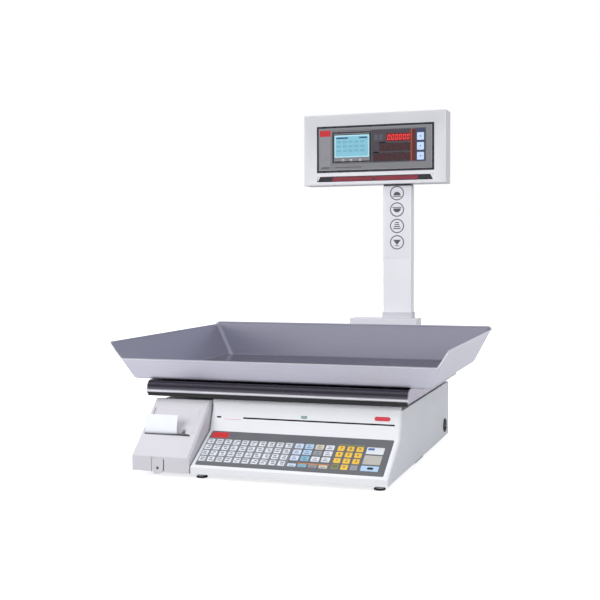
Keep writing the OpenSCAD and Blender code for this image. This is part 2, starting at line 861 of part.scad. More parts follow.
module head_screws() {
    color("silver") from_front() for (p = head_bolts) {
        rod_y([p.x, head_y + 16, p.y], 1.6, head_d - 17.5);
        rod_y([p.x, head_y + head_d - 1.5, p.y], 3, 1.2);
    }
}

led_x1 = 118.5;
led_rows = [[66, 525.5], [53, 508], [42, 490.5]];
led_h = 15.5;

module head_window() {
    y = head_y + dish;
    color([0.5, 0.5, 0.52]) from_front() difference() {
        span([window_x, y, window_z], [window_x + window_w, y + 1.5, window_z + window_h]);
        span([-31, y - past, 499.5], [36, y + 3, 541.5]);
        for (r = led_rows) span([r.x, y - past, r.y], [led_x1, y + 3, r.y + led_h]);
    }
}

module lcd_module() {
    y = head_y + dish;
    color("skyblue") from_front() difference() {
        union() {
            span([-35, y + 1.5, 496], [39.5, y + 4, 546]);
            span([-30.7, y + 0.7, 499.8], [35.7, y + 1.5, 541.2]);
            span([-40, y + 4, 490], [40, y + 5.6, 552]);
        }
        for (x = [-37, 37], z = [493, 549]) rod_y([x, y + 3, z], 1.3, 4);
    }
}

module led_digits() {
    y = head_y + dish;
    color("darkred") from_front() for (r = led_rows) {
        span([r.x + 0.3, y + 0.6, r.y + 0.3], [led_x1 - 0.3, y + 1.5, r.y + led_h - 0.3]);
        span([r.x - 1, y + 1.5, r.y - 0.9], [led_x1 + 1, y + 8, r.y + led_h + 0.9]);
    }
}

module head_board() {
    y = head_y + dish + 8;
    color("darkgreen") from_front() difference() {
        union() {
            span([head_x + 24, y, window_z + 8], [head_x + head_w - 30, y + 1.6, window_z + window_h - 8]);
            span([-10, y - 2.4, 505], [20, y, 535]);
            for (x = [-50, 140]) rod_y([x, y + 1.6, 515], 3, 5);
            span([70, y + 1.6, 487], [100, y + 8, 493]);
        }
        for (x = [-50, 140]) rod_y([x, y - 3, 515], 1.3, 12);
    }
}

module strip_lens() {
    color([0.35, 0.06, 0.09]) from_front()
        span([window_x + 1.3, head_y + dish - 1, strip_z + 0.3],
             [window_x + window_w - 1.3, head_y + dish + 0.8, strip_z + strip_h - 0.3]);
}

module rear_window() {
    y = head_y + head_d - shell;
    color([0.15, 0.15, 0.17]) from_front() {
        span([head_x + 22, y - 1.5, window_z], [head_x + head_w - 22, y, window_z + window_h]);
        span([0, y - 7, 500], [90, y - 1.5, 530]);
    }
}

// ---- Label printer drawer ----

module printer_cover() {
    right = printer_x + printer_w;
    side = 0.6;
    ear_w = 3.5;
    color([0.93, 0.93, 0.95]) from_front() difference() {
        union() {
            difference() {
                along_x(printer_x, printer_w) polygon(drawer_outline(0, under_z - gap, drawer_depth));
                along_x(printer_x + shell, printer_w - 2 * shell)
                    polygon(drawer_outline(shell, under_z - past, drawer_depth + past));
            }
            // Ears that carry the release tab's pin
            for (x = [tab_x - tab_w / 2 - side - ear_w, tab_x + tab_w / 2 + side])
                span([x, 1, tab_pin_z - 4], [x + ear_w, 7, tab_pin_z + 3.5]);
        }
        // Exit slot
        on_drawer() translate([slot_x, slot_y / cos(drawer_a) - slot_t / 2, -6]) cube([slot_w, slot_t, 12]);
        // The side walls stop short of the tray
        span([printer_x - past, 8 - gap, under_z - 2], [right + past, drawer_depth + past, tray_top + gap]);
        // Bevel along the right shoulder
        on_drawer() translate([right, -30, 0]) rotate([0, 45, 0]) translate([-2, 0, -2]) cube([4, 200, 4]);
        // Notch for the release tab, open at the bottom, room for its barrel and the pin's bore
        span([tab_x - tab_w / 2 - side, -past, under_z - 2],
             [tab_x + tab_w / 2 + side, shell + past, tab_pin_z + 1.6]);
        rod_x([tab_x - tab_w / 2 - side, tab_pin_y, tab_pin_z], barrel_r + 0.5, tab_w + 2 * side);
        rod_x([tab_x - 13, tab_pin_y, tab_pin_z], tab_pin_r + run, 26);
    }
}

module printer_chassis() {
    x0 = printer_x + shell + 0.5;
    x1 = printer_x + printer_w - shell - 0.5;
    t = 1.6;
    side = [[6, 18], [6, 30], [70, 85], [100, 92], [168, 92], [168, 18]];
    color("silver") from_front() difference() {
        union() {
            span([x0, 6, 18], [x1, 168, 18 + t]);
            along_x(x0, t) polygon(side);
            along_x(x1 - t, t) polygon(side);
            span([x0, 166, 18], [x1, 168, 60]);
            // Runners that keep to the inner sides of the rails
            for (x = [printer_x + 19, printer_x + 68]) span([x, 20, 15], [x + 3, 160, 18]);
        }
        // Bores of the platen shaft and the spindle, and the motor's shaft hole
        rod_x([x0 - past, platen_y, platen_z], 3, x1 - x0 + 2 * past);
        rod_x([x0 - past, roll_y, roll_z], 5, x1 - x0 + 2 * past);
        // Window in the floor under the roll
        span([x0 + 22, 95, 17], [x1 - 26, 140, 18 + t + past]);
    }
}

module drawer_rails() {
    color("dimgray") from_front() for (x = [printer_x + 9, printer_x + 73])
        span([x, 14, tray_top], [x + 8, 172, 18 - gap]);
}

module paper_roll() {
    color("ivory") from_front() difference() {
        rod_x([paper_x, roll_y, roll_z], roll_r, paper_w);
        rod_x([paper_x - past, roll_y, roll_z], 10.5, paper_w + 2 * past);
    }
}

module roll_spindle() {
    x0 = printer_x + shell + 0.5;
    x1 = printer_x + printer_w - shell - 0.5;
    color("dimgray") from_front() {
        rod_x([x0, roll_y, roll_z], 5 - 0.02, x1 - x0);
        rod_x([paper_x - 0.8, roll_y, roll_z], 10.5 - run, paper_w + 1.2);
    }
}

// Band of thickness t laid along the left side of a path
function ribbon(path, t) =
    let (n = len(path) - 1,
         way = [for (i = [0:n]) path[min(i + 1, n)] - path[max(i - 1, 0)]],
         edge = [for (i = [0:n]) path[i] + t * [-way[i].y, way[i].x] / norm(way[i])])
    concat(path, [for (i = [n:-1:0]) edge[i]]);

// Label web: off the roll, up through the nip, over the platen and out of the
// slot, where the free label stands up
module paper_strip() {
    t = 0.2;
    r = platen_r + 0.35;
    start_a = 125;
    path = concat(
        [[roll_y + (roll_r + 0.5) * cos(start_a), roll_z + (roll_r + 0.5) * sin(start_a)],
         [platen_y + r + 4, platen_z + 15.5], [platen_y + r + 0.05, platen_z + 13],
         [platen_y + r * cos(28), platen_z + 8.5]],
        [for (a = [50:20:130]) [platen_y, platen_z] + (r + 1.5) * [cos(a), sin(a)]],
        [[slot_y + 4.1, slot_z - 3.7], [slot_y + 0.6, slot_z - 0.6], [slot_y - 0.6, slot_z + 3],
         [slot_y - 0.6, slot_z + 9], [slot_y + 1.4, slot_z + 24]]);
    color("white") from_front() along_x(paper_x, paper_w) polygon(ribbon(path, -t));
}

// Half the angle of a gear tooth at radius r, from the involute of its base circle
function bend(a) = tan(a) * 180 / PI - a;
function tooth_half(r, rp, z, play) =
    90 / z - play + bend(20) - bend(acos(min(1, rp * cos(20) / r)));

// Spur gear of module 1 in the Y-Z plane
module gear(z, turn, play) {
    rp = z / 2;
    rings = [for (i = [0:4]) rp - 0.55 + i * 0.35];
    rotate([0, 0, turn]) union() {
        circle(r = rp - 1.25);
        for (i = [0:z - 1]) rotate([0, 0, i * 360 / z])
            polygon(concat([[rp - 2, -0.9], [rp - 1.2, -0.85]],
                [for (r = rings) r * [cos(tooth_half(r, rp, z, play)), -sin(tooth_half(r, rp, z, play))]],
                [for (i = [4:-1:0]) rings[i] * [cos(tooth_half(rings[i], rp, z, play)),
                                                sin(tooth_half(rings[i], rp, z, play))]],
                [[rp - 1.2, 0.85], [rp - 2, 0.9]]));
    }
}

module platen_roller() {
    x0 = printer_x + shell + 0.6;
    x1 = printer_x + printer_w - shell - 0.6;
    color([0.15, 0.15, 0.15]) from_front() {
        rod_x([x0, platen_y, platen_z], 3 - run, x1 - x0);
        rod_x([paper_x - 0.5, platen_y, platen_z], platen_r, paper_w + 1);
        translate([0, platen_y, platen_z]) along_x(gear_x, gear_w) gear(platen_teeth, pinion_a, 0.6);
    }
}

module print_head() {
    color([0.25, 0.2, 0.18]) from_front() {
        span([paper_x - 0.6, platen_y + platen_r + 0.8, 44],
             [paper_x + paper_w + 1, platen_y + platen_r + 4, 62]);
        span([paper_x + 4, platen_y + platen_r + 4, 46],
             [paper_x + paper_w - 4, platen_y + platen_r + 9, 60]);
    }
}

module feed_motor() {
    x1 = printer_x + printer_w - shell - 0.5 - 1.6;
    x0 = gear_x + gear_w + 1.5;
    color("gray") from_front() difference() {
        rod_x([x0, pinion_y, pinion_z], 11.5, x1 - x0);
        rod_x([x0 - past, pinion_y, pinion_z], 1.5 + run, 12 + past);
    }
}

module motor_pinion() {
    color("gold") from_front() {
        translate([0, pinion_y, pinion_z]) along_x(gear_x, gear_w)
            gear(pinion_teeth, pinion_a + 180 + 180 / pinion_teeth, 1.2);
        rod_x([gear_x, pinion_y, pinion_z], 1.5, gear_w + 12);
    }
}

// Pull tab: a plate with a round lower end, hung on a barrel at its top
module release_tab() {
    round_r = tab_w / 2;
    end_z = tab_low + round_r;
    color([0.9, 0.9, 0.92]) from_front() {
        difference() {
            union() {
                span([tab_x - round_r, tab_face, end_z], [tab_x + round_r, tab_face + tab_t, tab_pin_z]);
                rod_y([tab_x, tab_face, end_z], round_r, tab_t);
                rod_x([tab_x - round_r, tab_pin_y, tab_pin_z], barrel_r, tab_w);
            }
            // Dimple for a fingertip
            rod_y([tab_x, 0, end_z], 2.2, tab_face + 0.8);
        }
        rod_x([tab_x - 12.5, tab_pin_y, tab_pin_z], tab_pin_r, 25);
    }
}

base_tray();
housing();
accent_strip();
lamp_cup();
lamp_lens();
badge();
keypad_film();
keypad_board();
foot_front_left();
foot_front_right();
foot_rear_left();
foot_rear_right();
foot_nuts();
load_cell();
cell_base_block();
cell_screws();
stop_screw();
load_pillar();
spider();
platter_buffers();
platter();
pan();
pan_pads();
main_board();
power_supply();
battery();
rear_panel();
mains_inlet();
data_ports();
switch_bezel();
switch_rocker();
post_bracket();
bracket_screws();
post();
post_boot();
post_screws();
post_label();
post_cable();
swivel_collar();
swivel_spigot();
head_front();
head_back();
head_screws();
head_window();
lcd_module();
led_digits();
head_board();
strip_lens();
rear_window();
printer_cover();
printer_chassis();
drawer_rails();
paper_roll();
roll_spindle();
paper_strip();
platen_roller();
print_head();
feed_motor();
motor_pinion();
release_tab();
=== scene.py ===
import json
import math
import random

import bmesh
import bpy
from mathutils import Matrix, Vector


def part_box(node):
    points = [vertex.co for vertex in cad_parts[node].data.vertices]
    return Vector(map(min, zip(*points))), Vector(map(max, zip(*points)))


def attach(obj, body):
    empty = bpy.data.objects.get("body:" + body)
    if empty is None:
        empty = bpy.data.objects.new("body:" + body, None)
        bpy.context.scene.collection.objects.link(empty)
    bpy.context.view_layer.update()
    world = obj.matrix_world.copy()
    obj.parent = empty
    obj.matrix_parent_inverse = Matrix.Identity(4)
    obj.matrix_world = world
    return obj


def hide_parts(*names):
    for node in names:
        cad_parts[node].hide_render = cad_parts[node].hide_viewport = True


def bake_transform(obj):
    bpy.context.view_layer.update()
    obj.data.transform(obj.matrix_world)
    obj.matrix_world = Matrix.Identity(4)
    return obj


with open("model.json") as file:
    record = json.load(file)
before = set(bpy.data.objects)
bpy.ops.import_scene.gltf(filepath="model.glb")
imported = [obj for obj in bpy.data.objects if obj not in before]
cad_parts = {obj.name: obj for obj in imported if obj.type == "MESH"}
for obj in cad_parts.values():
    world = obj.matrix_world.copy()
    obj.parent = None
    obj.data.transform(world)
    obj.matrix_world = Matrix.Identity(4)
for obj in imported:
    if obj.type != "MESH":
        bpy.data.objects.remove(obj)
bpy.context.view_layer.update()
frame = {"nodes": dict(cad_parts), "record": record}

scene = bpy.context.scene
nodes = frame["nodes"]
MM = 0.001
X = Vector((1, 0, 0))
Y = Vector((0, 1, 0))
Z = Vector((0, 0, 1))


# ---- Materials ----

def linear(rgb):
    """Linear colour for a display colour given as three numbers up to 255."""
    shares = [c / 255 for c in rgb]
    return tuple(s / 12.92 if s <= 0.04045 else ((s + 0.055) / 1.055) ** 2.4 for s in shares)


def scaled(color, k):
    return tuple(min(1.0, c * k) for c in color) + (1.0,)


def noise(tree, vector, scale, detail):
    node = tree.nodes.new("ShaderNodeTexNoise")
    node.inputs["Scale"].default_value = scale
    node.inputs["Detail"].default_value = detail
    tree.links.new(vector, node.inputs["Vector"])
    return node.outputs["Fac"]


def spread(tree, value, low, high):
    """Maps the middle of a noise value onto the range from low to high."""
    node = tree.nodes.new("ShaderNodeMapRange")
    node.inputs["From Min"].default_value = 0.3
    node.inputs["From Max"].default_value = 0.7
    node.inputs["To Min"].default_value = low
    node.inputs["To Max"].default_value = high
    tree.links.new(value, node.inputs["Value"])
    return node.outputs["Result"]


def make_material(name, rgb, rough, metal=0.0, tint=0.03, patch=9.0, sway=0.06, grain=1400.0, depth=0.02,
                  stretch=(1, 1, 1), streaked=False, coat=0.0, glow=None, power=0.0):
    """Principled surface whose colour and roughness drift in broad patches, or with the grain where
    it is streaked. The grain is the relief: depth is its height in millimetres, and stretch draws
    it out into streaks."""
    material = bpy.data.materials.new(name)
    material.use_nodes = True
    tree = material.node_tree
    shader = tree.nodes["Principled BSDF"]
    shader.inputs["Metallic"].default_value = metal
    shader.inputs["Coat Weight"].default_value = coat
    shader.inputs["Coat Roughness"].default_value = 0.06
    if glow:
        shader.inputs["Emission Color"].default_value = linear(glow) + (1.0,)
        shader.inputs["Emission Strength"].default_value = power
    place = tree.nodes.new("ShaderNodeTexCoord").outputs["Object"]
    fine_place = tree.nodes.new("ShaderNodeMapping")
    fine_place.inputs["Scale"].default_value = stretch
    tree.links.new(place, fine_place.inputs["Vector"])
    patches = noise(tree, place, patch, 3.0)
    fine = noise(tree, fine_place.outputs["Vector"], grain, 2.0)
    drift = fine if streaked else patches
    color = linear(rgb)
    mix = tree.nodes.new("ShaderNodeMix")
    mix.data_type = "RGBA"
    mix.inputs["A"].default_value = scaled(color, 1 - tint)
    mix.inputs["B"].default_value = scaled(color, 1 + tint)
    tree.links.new(spread(tree, drift, 0.0, 1.0), mix.inputs["Factor"])
    tree.links.new(mix.outputs["Result"], shader.inputs["Base Color"])
    tree.links.new(spread(tree, drift, max(0.02, rough - sway), min(1.0, rough + sway)),
                   shader.inputs["Roughness"])
    bump = tree.nodes.new("ShaderNodeBump")
    bump.inputs["Strength"].default_value = 1.0
    bump.inputs["Distance"].default_value = depth * MM
    tree.links.new(fine, bump.inputs["Height"])
    tree.links.new(bump.outputs["Normal"], shader.inputs["Normal"])
    return material


looks = {}


def add_look(name, rgb, rough, **more):
    looks[name] = make_material(name, rgb, rough, **more)


def add_steel(name, rgb, rough, tint, grain=2400, sway=0.05, depth=0.002, stretch=(0.01, 1, 1)):
    """Brushed metal, with its streaks along X unless stretch says otherwise."""
    add_look(name, rgb, rough, metal=1.0, tint=tint, sway=sway, grain=grain, depth=depth,
             stretch=stretch, streaked=True)


def add_ink(name, rgb, rough=0.42, **more):
    """Ink or tinted film printed on a panel."""
    add_look(name, rgb, rough, tint=0.05, patch=60, grain=1500, depth=0.004, **more)


add_look("abs", (236, 237, 241), 0.5, depth=0.012, grain=1700)
# Darker copy of the white ABS for the head's shells: painted shade
add_look("abs_head_painted_shade", (225, 226, 230), 0.5, depth=0.012, grain=1700)
# Darker copy of the white ABS for the printer drawer: painted shade
add_look("abs_drawer_painted_shade", (211, 209, 215), 0.5, depth=0.012, grain=1700)
add_look("grey_plastic", (205, 206, 212), 0.45, depth=0.012)
add_look("dark_plastic", (52, 52, 56), 0.4, tint=0.1, depth=0.015)
add_look("gloss_black", (30, 31, 37), 0.16, tint=0.1, depth=0.003, grain=400, coat=0.5)
add_look("badge_red", (214, 52, 66), 0.25, tint=0.05, depth=0.003, grain=500, coat=0.6)
add_look("lamp_green", (150, 178, 166), 0.2, depth=0.004, grain=500, coat=0.5, glow=(120, 200, 160),
         power=0.04)
add_steel("stainless", (206, 205, 216), 0.35, tint=0.045, grain=1100)
# Darker copy of the stainless for the pan's floor: painted dark reflection
add_steel("pan_floor_painted_reflection", (163, 160, 169), 0.24, tint=0.06, grain=1100)
add_steel("polished_steel", (224, 224, 229), 0.1, tint=0.02, sway=0.04, depth=0.001)
# Dark copy of the steel for the platter's deck and nose: painted dark reflection
add_steel("platter_painted_dark_reflection", (94, 90, 98), 0.24, tint=0.03)
# Brighter copy of the steel for the platter's beads and the pan's hem: painted highlight
add_steel("bead_steel_painted_highlight", (240, 240, 244), 0.42, tint=0.02)
add_steel("platter_side", (182, 176, 190), 0.3, tint=0.02, stretch=(1, 0.02, 1))
add_look("switch_black", (20, 20, 23), 0.42, tint=0.1, depth=0.01)
add_look("zinc_steel", (186, 189, 195), 0.36, metal=1.0, tint=0.09, patch=60, sway=0.12, grain=600,
         depth=0.006)
add_steel("cell_aluminium", (205, 208, 213), 0.33, tint=0.04, grain=1800, sway=0.06, depth=0.006,
          stretch=(1, 0.03, 1))
add_look("cast_alloy", (172, 175, 180), 0.55, metal=1.0, tint=0.08, patch=40, grain=420, depth=0.09)
add_look("rubber", (44, 44, 46), 0.8, tint=0.12, patch=60, grain=900, depth=0.05)
add_look("circuit_green", (28, 104, 62), 0.35, tint=0.25, patch=170, grain=260, depth=0.03, coat=0.3)
add_look("battery_case", (64, 68, 80), 0.5, tint=0.08, depth=0.03)
add_look("brass", (204, 174, 108), 0.3, metal=1.0, tint=0.05, patch=90, grain=900, depth=0.006)
add_look("powder_coat", (232, 232, 238), 0.5, grain=800, depth=0.03)
add_look("post_paint", (243, 242, 247), 0.46, grain=900)
add_look("label_film", (238, 237, 243), 0.42, tint=0.02, grain=700, depth=0.005)
add_look("cable_black", (38, 38, 40), 0.55, tint=0.1)
add_look("overlay_grey", (128, 128, 131), 0.34, tint=0.05, patch=25, grain=1500, depth=0.006)
add_look("lcd_glass", (48, 60, 78), 0.2, tint=0.1, grain=600, depth=0.002, coat=0.4)
add_look("led_filter", (46, 16, 22), 0.18, tint=0.15, patch=60, grain=500, depth=0.002, coat=0.4)
add_look("strip_red", (128, 32, 48), 0.22, tint=0.16, patch=30, grain=500, depth=0.003, coat=0.4,
         glow=(150, 20, 40), power=0.05)
add_look("smoked", (46, 40, 46), 0.14, tint=0.12, grain=300, depth=0.002, coat=0.6)
add_look("paper", (240, 243, 250), 0.7, tint=0.02, patch=30, grain=1100)
add_look("head_ceramic", (84, 72, 66), 0.5, tint=0.12, patch=80)
add_look("motor_steel", (112, 112, 117), 0.4, metal=0.6, tint=0.08)
add_look("film_grey", (104, 106, 111), 0.5, tint=0.05, patch=30, grain=2200, depth=0.006)
add_ink("key_white", (224, 227, 234))
add_ink("key_blue_white", (208, 220, 240))
add_ink("key_teal", (134, 182, 208))
add_ink("key_grey", (150, 152, 158))
add_ink("key_beige", (214, 208, 190))
add_ink("key_yellow", (240, 196, 74))
add_ink("key_khaki", (136, 140, 96))
add_ink("key_light_blue", (176, 206, 234))
add_ink("key_greige", (186, 182, 176))
add_ink("print_red", (206, 44, 48))
add_ink("print_blue", (70, 110, 176))
add_ink("print_orange", (216, 132, 58))
add_ink("print_dark", (44, 46, 54))
add_ink("print_mark", (116, 120, 130))
add_ink("print_pink", (232, 196, 202))
add_ink("field_grey", (128, 130, 135))
add_ink("pane_border", (40, 41, 48), 0.3)
add_ink("pane_line", (168, 168, 172))
add_ink("pane_light", (142, 142, 146))
add_ink("pane_outline", (84, 84, 92))
add_ink("pane_dark", (70, 64, 72))
add_ink("pane_navy", (58, 66, 96))
add_ink("pane_red", (198, 40, 46))
add_ink("lcd_border", (180, 226, 236), glow=(160, 220, 235), power=0.12)
add_ink("lcd_inner", (130, 190, 208), glow=(110, 180, 205), power=0.12)
add_ink("lcd_mark", (48, 84, 128))
add_ink("lcd_faint", (118, 178, 200))
add_ink("led_field", (104, 22, 26), glow=(140, 10, 16), power=0.06)
add_ink("white_mark", (214, 216, 220))
add_ink("pad_blue", (196, 214, 240), glow=(170, 200, 240), power=0.15)
add_ink("rust", (88, 34, 32))
add_ink("orange_dim", (158, 70, 42))
add_ink("led_lit", (236, 64, 60), glow=(255, 40, 40), power=0.9)
add_ink("led_dim", (76, 24, 30))
add_ink("icon_grey", (82, 84, 92))

# Record slots whose name differs from the look that the node gets
SLOT_OF = {"abs": "white_plastic", "abs_drawer_painted_shade": "white_plastic_drawer", "powder_coat": "painted_steel",
           "led_filter": "led_red", "smoked": "rear_window", "film_grey": "keypad_film"}
LOOK_OF = {slot: look for look, slot in SLOT_OF.items()}


# ---- Mesh helpers ----

def add_piece(name, bm, look, body, replaced=(), sharp=35):
    """Turns a bmesh into a piece that rides on a body, smooth but for its sharp edges."""
    bmesh.ops.recalc_face_normals(bm, faces=bm.faces)
    mesh = bpy.data.meshes.new(name)
    bm.to_mesh(mesh)
    bm.free()
    for polygon in mesh.polygons:
        polygon.use_smooth = True
    mesh.set_sharp_from_angle(angle=math.radians(sharp))
    mesh.materials.append(looks[look])
    piece = bpy.data.objects.new(name, mesh)
    scene.collection.objects.link(piece)
    normals = piece.modifiers.new("normals", "WEIGHTED_NORMAL")
    normals.keep_sharp = True
    if body:
        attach(piece, body)
    if replaced:
        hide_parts(*replaced)
    return piece


def body_name(node):
    return next(b for b, members in frame["record"]["behaviour"]["bodies"].items() if node in members)


def node_slot(node):
    return next(part["material_slot"] for part in frame["record"]["subparts"] if part["node"] == node)


def is_convex(edge, angle):
    """True for an outer corner sharper than the angle, in degrees."""
    if len(edge.link_faces) != 2:
        return False
    return edge.is_convex and edge.calc_face_angle(0) > math.radians(angle)


def cad_copy(node):
    bm = bmesh.new()
    bm.from_mesh(nodes[node].data)
    bmesh.ops.remove_doubles(bm, verts=bm.verts, dist=0.02 * MM)
    return bm


def rounded(node, radius, steps=3, special=None, special_radius=0.0, special_steps=5, angle=40,
            source=None, sharp=35):
    """Copy of a CAD node with its outer corners rounded; radius and special_radius are in
    millimetres, and special(edge) picks the corners that get the second radius. source is a
    reworked copy to start from."""
    bm = source or cad_copy(node)
    bmesh.ops.dissolve_limit(bm, angle_limit=math.radians(0.8), verts=bm.verts, edges=bm.edges)
    groups = []
    if special:
        groups.append((special, special_radius, special_steps))
    groups.append((lambda edge: True, radius, steps))
    for pick, size, segments in groups:
        edges = [e for e in bm.edges if is_convex(e, angle) and e.calc_length() > size * MM and pick(e)]
        bmesh.ops.bevel(bm, geom=edges, offset=size * MM, offset_type="OFFSET", segments=segments,
                        profile=0.5, affect="EDGES", clamp_overlap=True, loop_slide=True)
    name = node + "_shell"
    look = LOOK_OF.get(node_slot(node), node_slot(node))
    return add_piece(name, bm, look, body_name(node), [node], sharp)


class Plane:
    """Flat place on the object: u to the right, v up, n out of the surface, in millimetres
    from an origin."""

    def __init__(self, origin, u, v):
        self.origin = Vector(origin)
        self.u = Vector(u)
        self.v = Vector(v)
        self.n = self.u.cross(self.v)

    def at(self, u, v, n=0.0):
        return self.origin + (self.u * u + self.v * v + self.n * n) * MM


def plane_of(node, u, facing):
    """Plane of a node's largest face that looks towards facing, from its lower left corner."""
    mesh = nodes[node].data
    areas = {}
    for polygon in mesh.polygons:
        if polygon.normal.dot(Vector(facing)) > 0.3:
            key = tuple(round(c, 3) for c in polygon.normal)
            areas[key] = areas.get(key, 0) + polygon.area
    normal = Vector(max(areas, key=areas.get)).normalized()
    v = normal.cross(u)
    points = [vertex.co for vertex in mesh.vertices]
    low_u = min(p.dot(u) for p in points)
    low_v = min(p.dot(v) for p in points)
    top_n = max(p.dot(normal) for p in points)
    return Plane(u * low_u + v * low_v + normal * top_n, u, v)


def rounded_rect(u0, v0, u1, v1, r, steps=4):
    """Outline of a rectangle with round corners."""
    r = min(r, (u1 - u0) / 2 - 0.001, (v1 - v0) / 2 - 0.001)
    if r <= 0.02:
        return [(u0, v0), (u1, v0), (u1, v1), (u0, v1)]
    centres = ((u1 - r, v0 + r), (u1 - r, v1 - r), (u0 + r, v1 - r), (u0 + r, v0 + r))
    points = []
    for turn, (cu, cv) in enumerate(centres):
        for k in range(steps + 1):
            a = math.radians(90 * (turn - 1) + 90 * k / steps)
            points.append((cu + r * math.cos(a), cv + r * math.sin(a)))
    return points


def bridge(bm, rings):
    """Walls from each ring of vertices to the next."""
    for a, b in zip(rings, rings[1:]):
        for k in range(len(a)):
            j = (k + 1) % len(a)
            bm.faces.new((a[k], a[j], b[j], b[k]))


def add_prism(bm, plane, outline, n0, n1):
    """Prism over an outline on a plane, from height n0 to n1."""
    low = [bm.verts.new(plane.at(u, v, n0)) for u, v in outline]
    high = [bm.verts.new(plane.at(u, v, n1)) for u, v in outline]
    bm.faces.new(high)
    bm.faces.new(list(reversed(low)))
    bridge(bm, [low, high])


def add_pillow(bm, plane, outline, n0, n1, inset, dome):
    """Prism whose top edge is rounded off and whose top is slightly domed."""
    cu = sum(u for u, v in outline) / len(outline)
    cv = sum(v for u, v in outline) / len(outline)
    half = max(abs(u - cu) for u, v in outline)
    tall = max(abs(v - cv) for u, v in outline)

    def ring(shrink, n):
        ku = 1 - shrink / half
        kv = 1 - shrink / tall
        return [bm.verts.new(plane.at(cu + (u - cu) * ku, cv + (v - cv) * kv, n)) for u, v in outline]

    rings = [ring(0, n0), ring(0, n1 - inset), ring(inset * 0.3, n1 - inset * 0.3), ring(inset, n1)]
    rings.append(ring(min(half, tall) * 0.55, n1 + dome))
    bridge(bm, rings)
    bm.faces.new(rings[-1])
    bm.faces.new(list(reversed(rings[0])))


def add_annulus(bm, plane, cu, cv, r_out, r_in, n0, n1, steps=48):
    """Flat ring standing on a plane."""
    loops = []
    for r, n in ((r_out, n0), (r_out, n1), (r_in, n1), (r_in, n0)):
        loops.append([bm.verts.new(plane.at(cu + r * math.cos(k * math.tau / steps),
                                            cv + r * math.sin(k * math.tau / steps), n))
                      for k in range(steps)])
    bridge(bm, loops + loops[:1])


def prints(name, plane, rects, look, body, n0=0.0, n1=0.12, r=0.4):
    """Thin printed patches: each rect is u0, v0, u1, v1 in millimetres on the plane."""
    bm = bmesh.new()
    for rect in rects:
        add_prism(bm, plane, rounded_rect(*rect, r), n0, n1)
    return add_piece(name, bm, look, body)


def add_turned(bm, plane, profile, steps=48, ribs=(), rib_depth=0.0):
    """Turned solid round a plane's normal: profile is a list of radius and height. Rings whose
    index is in ribs are cut to ribs, two steps wide and two apart."""
    rings = []
    for index, (r, n) in enumerate(profile):
        if r == 0:
            rings.append([bm.verts.new(plane.at(0, 0, n))])
            continue
        ring = []
        for k in range(steps):
            a = k * math.tau / steps
            size = r - rib_depth * (k % 4 < 2) if index in ribs else r
            ring.append(bm.verts.new(plane.at(size * math.cos(a), size * math.sin(a), n)))
        rings.append(ring)
    for a, b in zip(rings, rings[1:]):
        for k in range(steps):
            j = (k + 1) % steps
            if len(a) == 1:
                bm.faces.new((a[0], b[j], b[k]))
            elif len(b) == 1:
                bm.faces.new((a[k], a[j], b[0]))
            else:
                bm.faces.new((a[k], a[j], b[j], b[k]))


def tube(name, points, radius, look, body):
    """Closed round bead along a loop of points."""
    curve = bpy.data.curves.new(name, "CURVE")
    curve.dimensions = "3D"
    curve.bevel_depth = radius
    curve.bevel_resolution = 3
    spline = curve.splines.new("POLY")
    spline.points.add(len(points) - 1)
    for point, p in zip(spline.points, points):
        point.co = (*p, 1)
    spline.use_cyclic_u = True
    holder = bpy.data.objects.new(name + "_path", curve)
    scene.collection.objects.link(holder)
    bpy.context.view_layer.update()
    mesh = bpy.data.meshes.new_from_object(holder.evaluated_get(bpy.context.evaluated_depsgraph_get()))
    bpy.data.objects.remove(holder)
    bm = bmesh.new()
    bm.from_mesh(mesh)
    bmesh.ops.remove_doubles(bm, verts=bm.verts, dist=0.01 * MM)
    return add_piece(name, bm, look, body)


def lies_at(value, level):
    return abs(value - level) < 0.1 * MM


# ---- Every CAD node's finish ----

for node, cad_object in nodes.items():
    slot = node_slot(node)
    cad_object.data.materials.clear()
    cad_object.data.materials.append(looks[LOOK_OF.get(slot, slot)])

# ---- Shells with rounded corners ----

console_low, console_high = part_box("housing")
drawer_low, drawer_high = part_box("printer_cover")


def on_right_outline(edge):
    """Corner between the console's right side and its front, slopes and top."""
    on_side = all(lies_at(v.co.x, console_high.x) for v in edge.verts)
    above_base = min(v.co.z for v in edge.verts) > console_low.z + 1 * MM
    return on_side and above_base and max(v.co.y for v in edge.verts) < console_high.y


def on_right_shoulder(edge):
    """Long corners of the drawer's bevelled right shoulder."""
    on_shoulder = min(v.co.x for v in edge.verts) > drawer_high.x - 3 * MM
    above_base = min(v.co.z for v in edge.verts) > console_low.z + 10 * MM
    return on_shoulder and above_base and edge.calc_length() > 20 * MM


def combine(bm, tool, operation):
    """Boolean of two meshes; frees the tool and returns the result."""
    objects = []
    for part in (bm, tool):
        bmesh.ops.recalc_face_normals(part, faces=part.faces)
        mesh = bpy.data.meshes.new("boolean")
        part.to_mesh(mesh)
        part.free()
        objects.append(bpy.data.objects.new("boolean", mesh))
        scene.collection.objects.link(objects[-1])
    modifier = objects[0].modifiers.new("boolean", "BOOLEAN")
    modifier.object = objects[1]
    modifier.operation = operation
    modifier.solver = "EXACT"
    bpy.context.view_layer.update()
    mesh = bpy.data.meshes.new_from_object(objects[0].evaluated_get(bpy.context.evaluated_depsgraph_get()))
    result = bmesh.new()
    result.from_mesh(mesh)
    for ob in objects:
        bpy.data.objects.remove(ob)
    return result


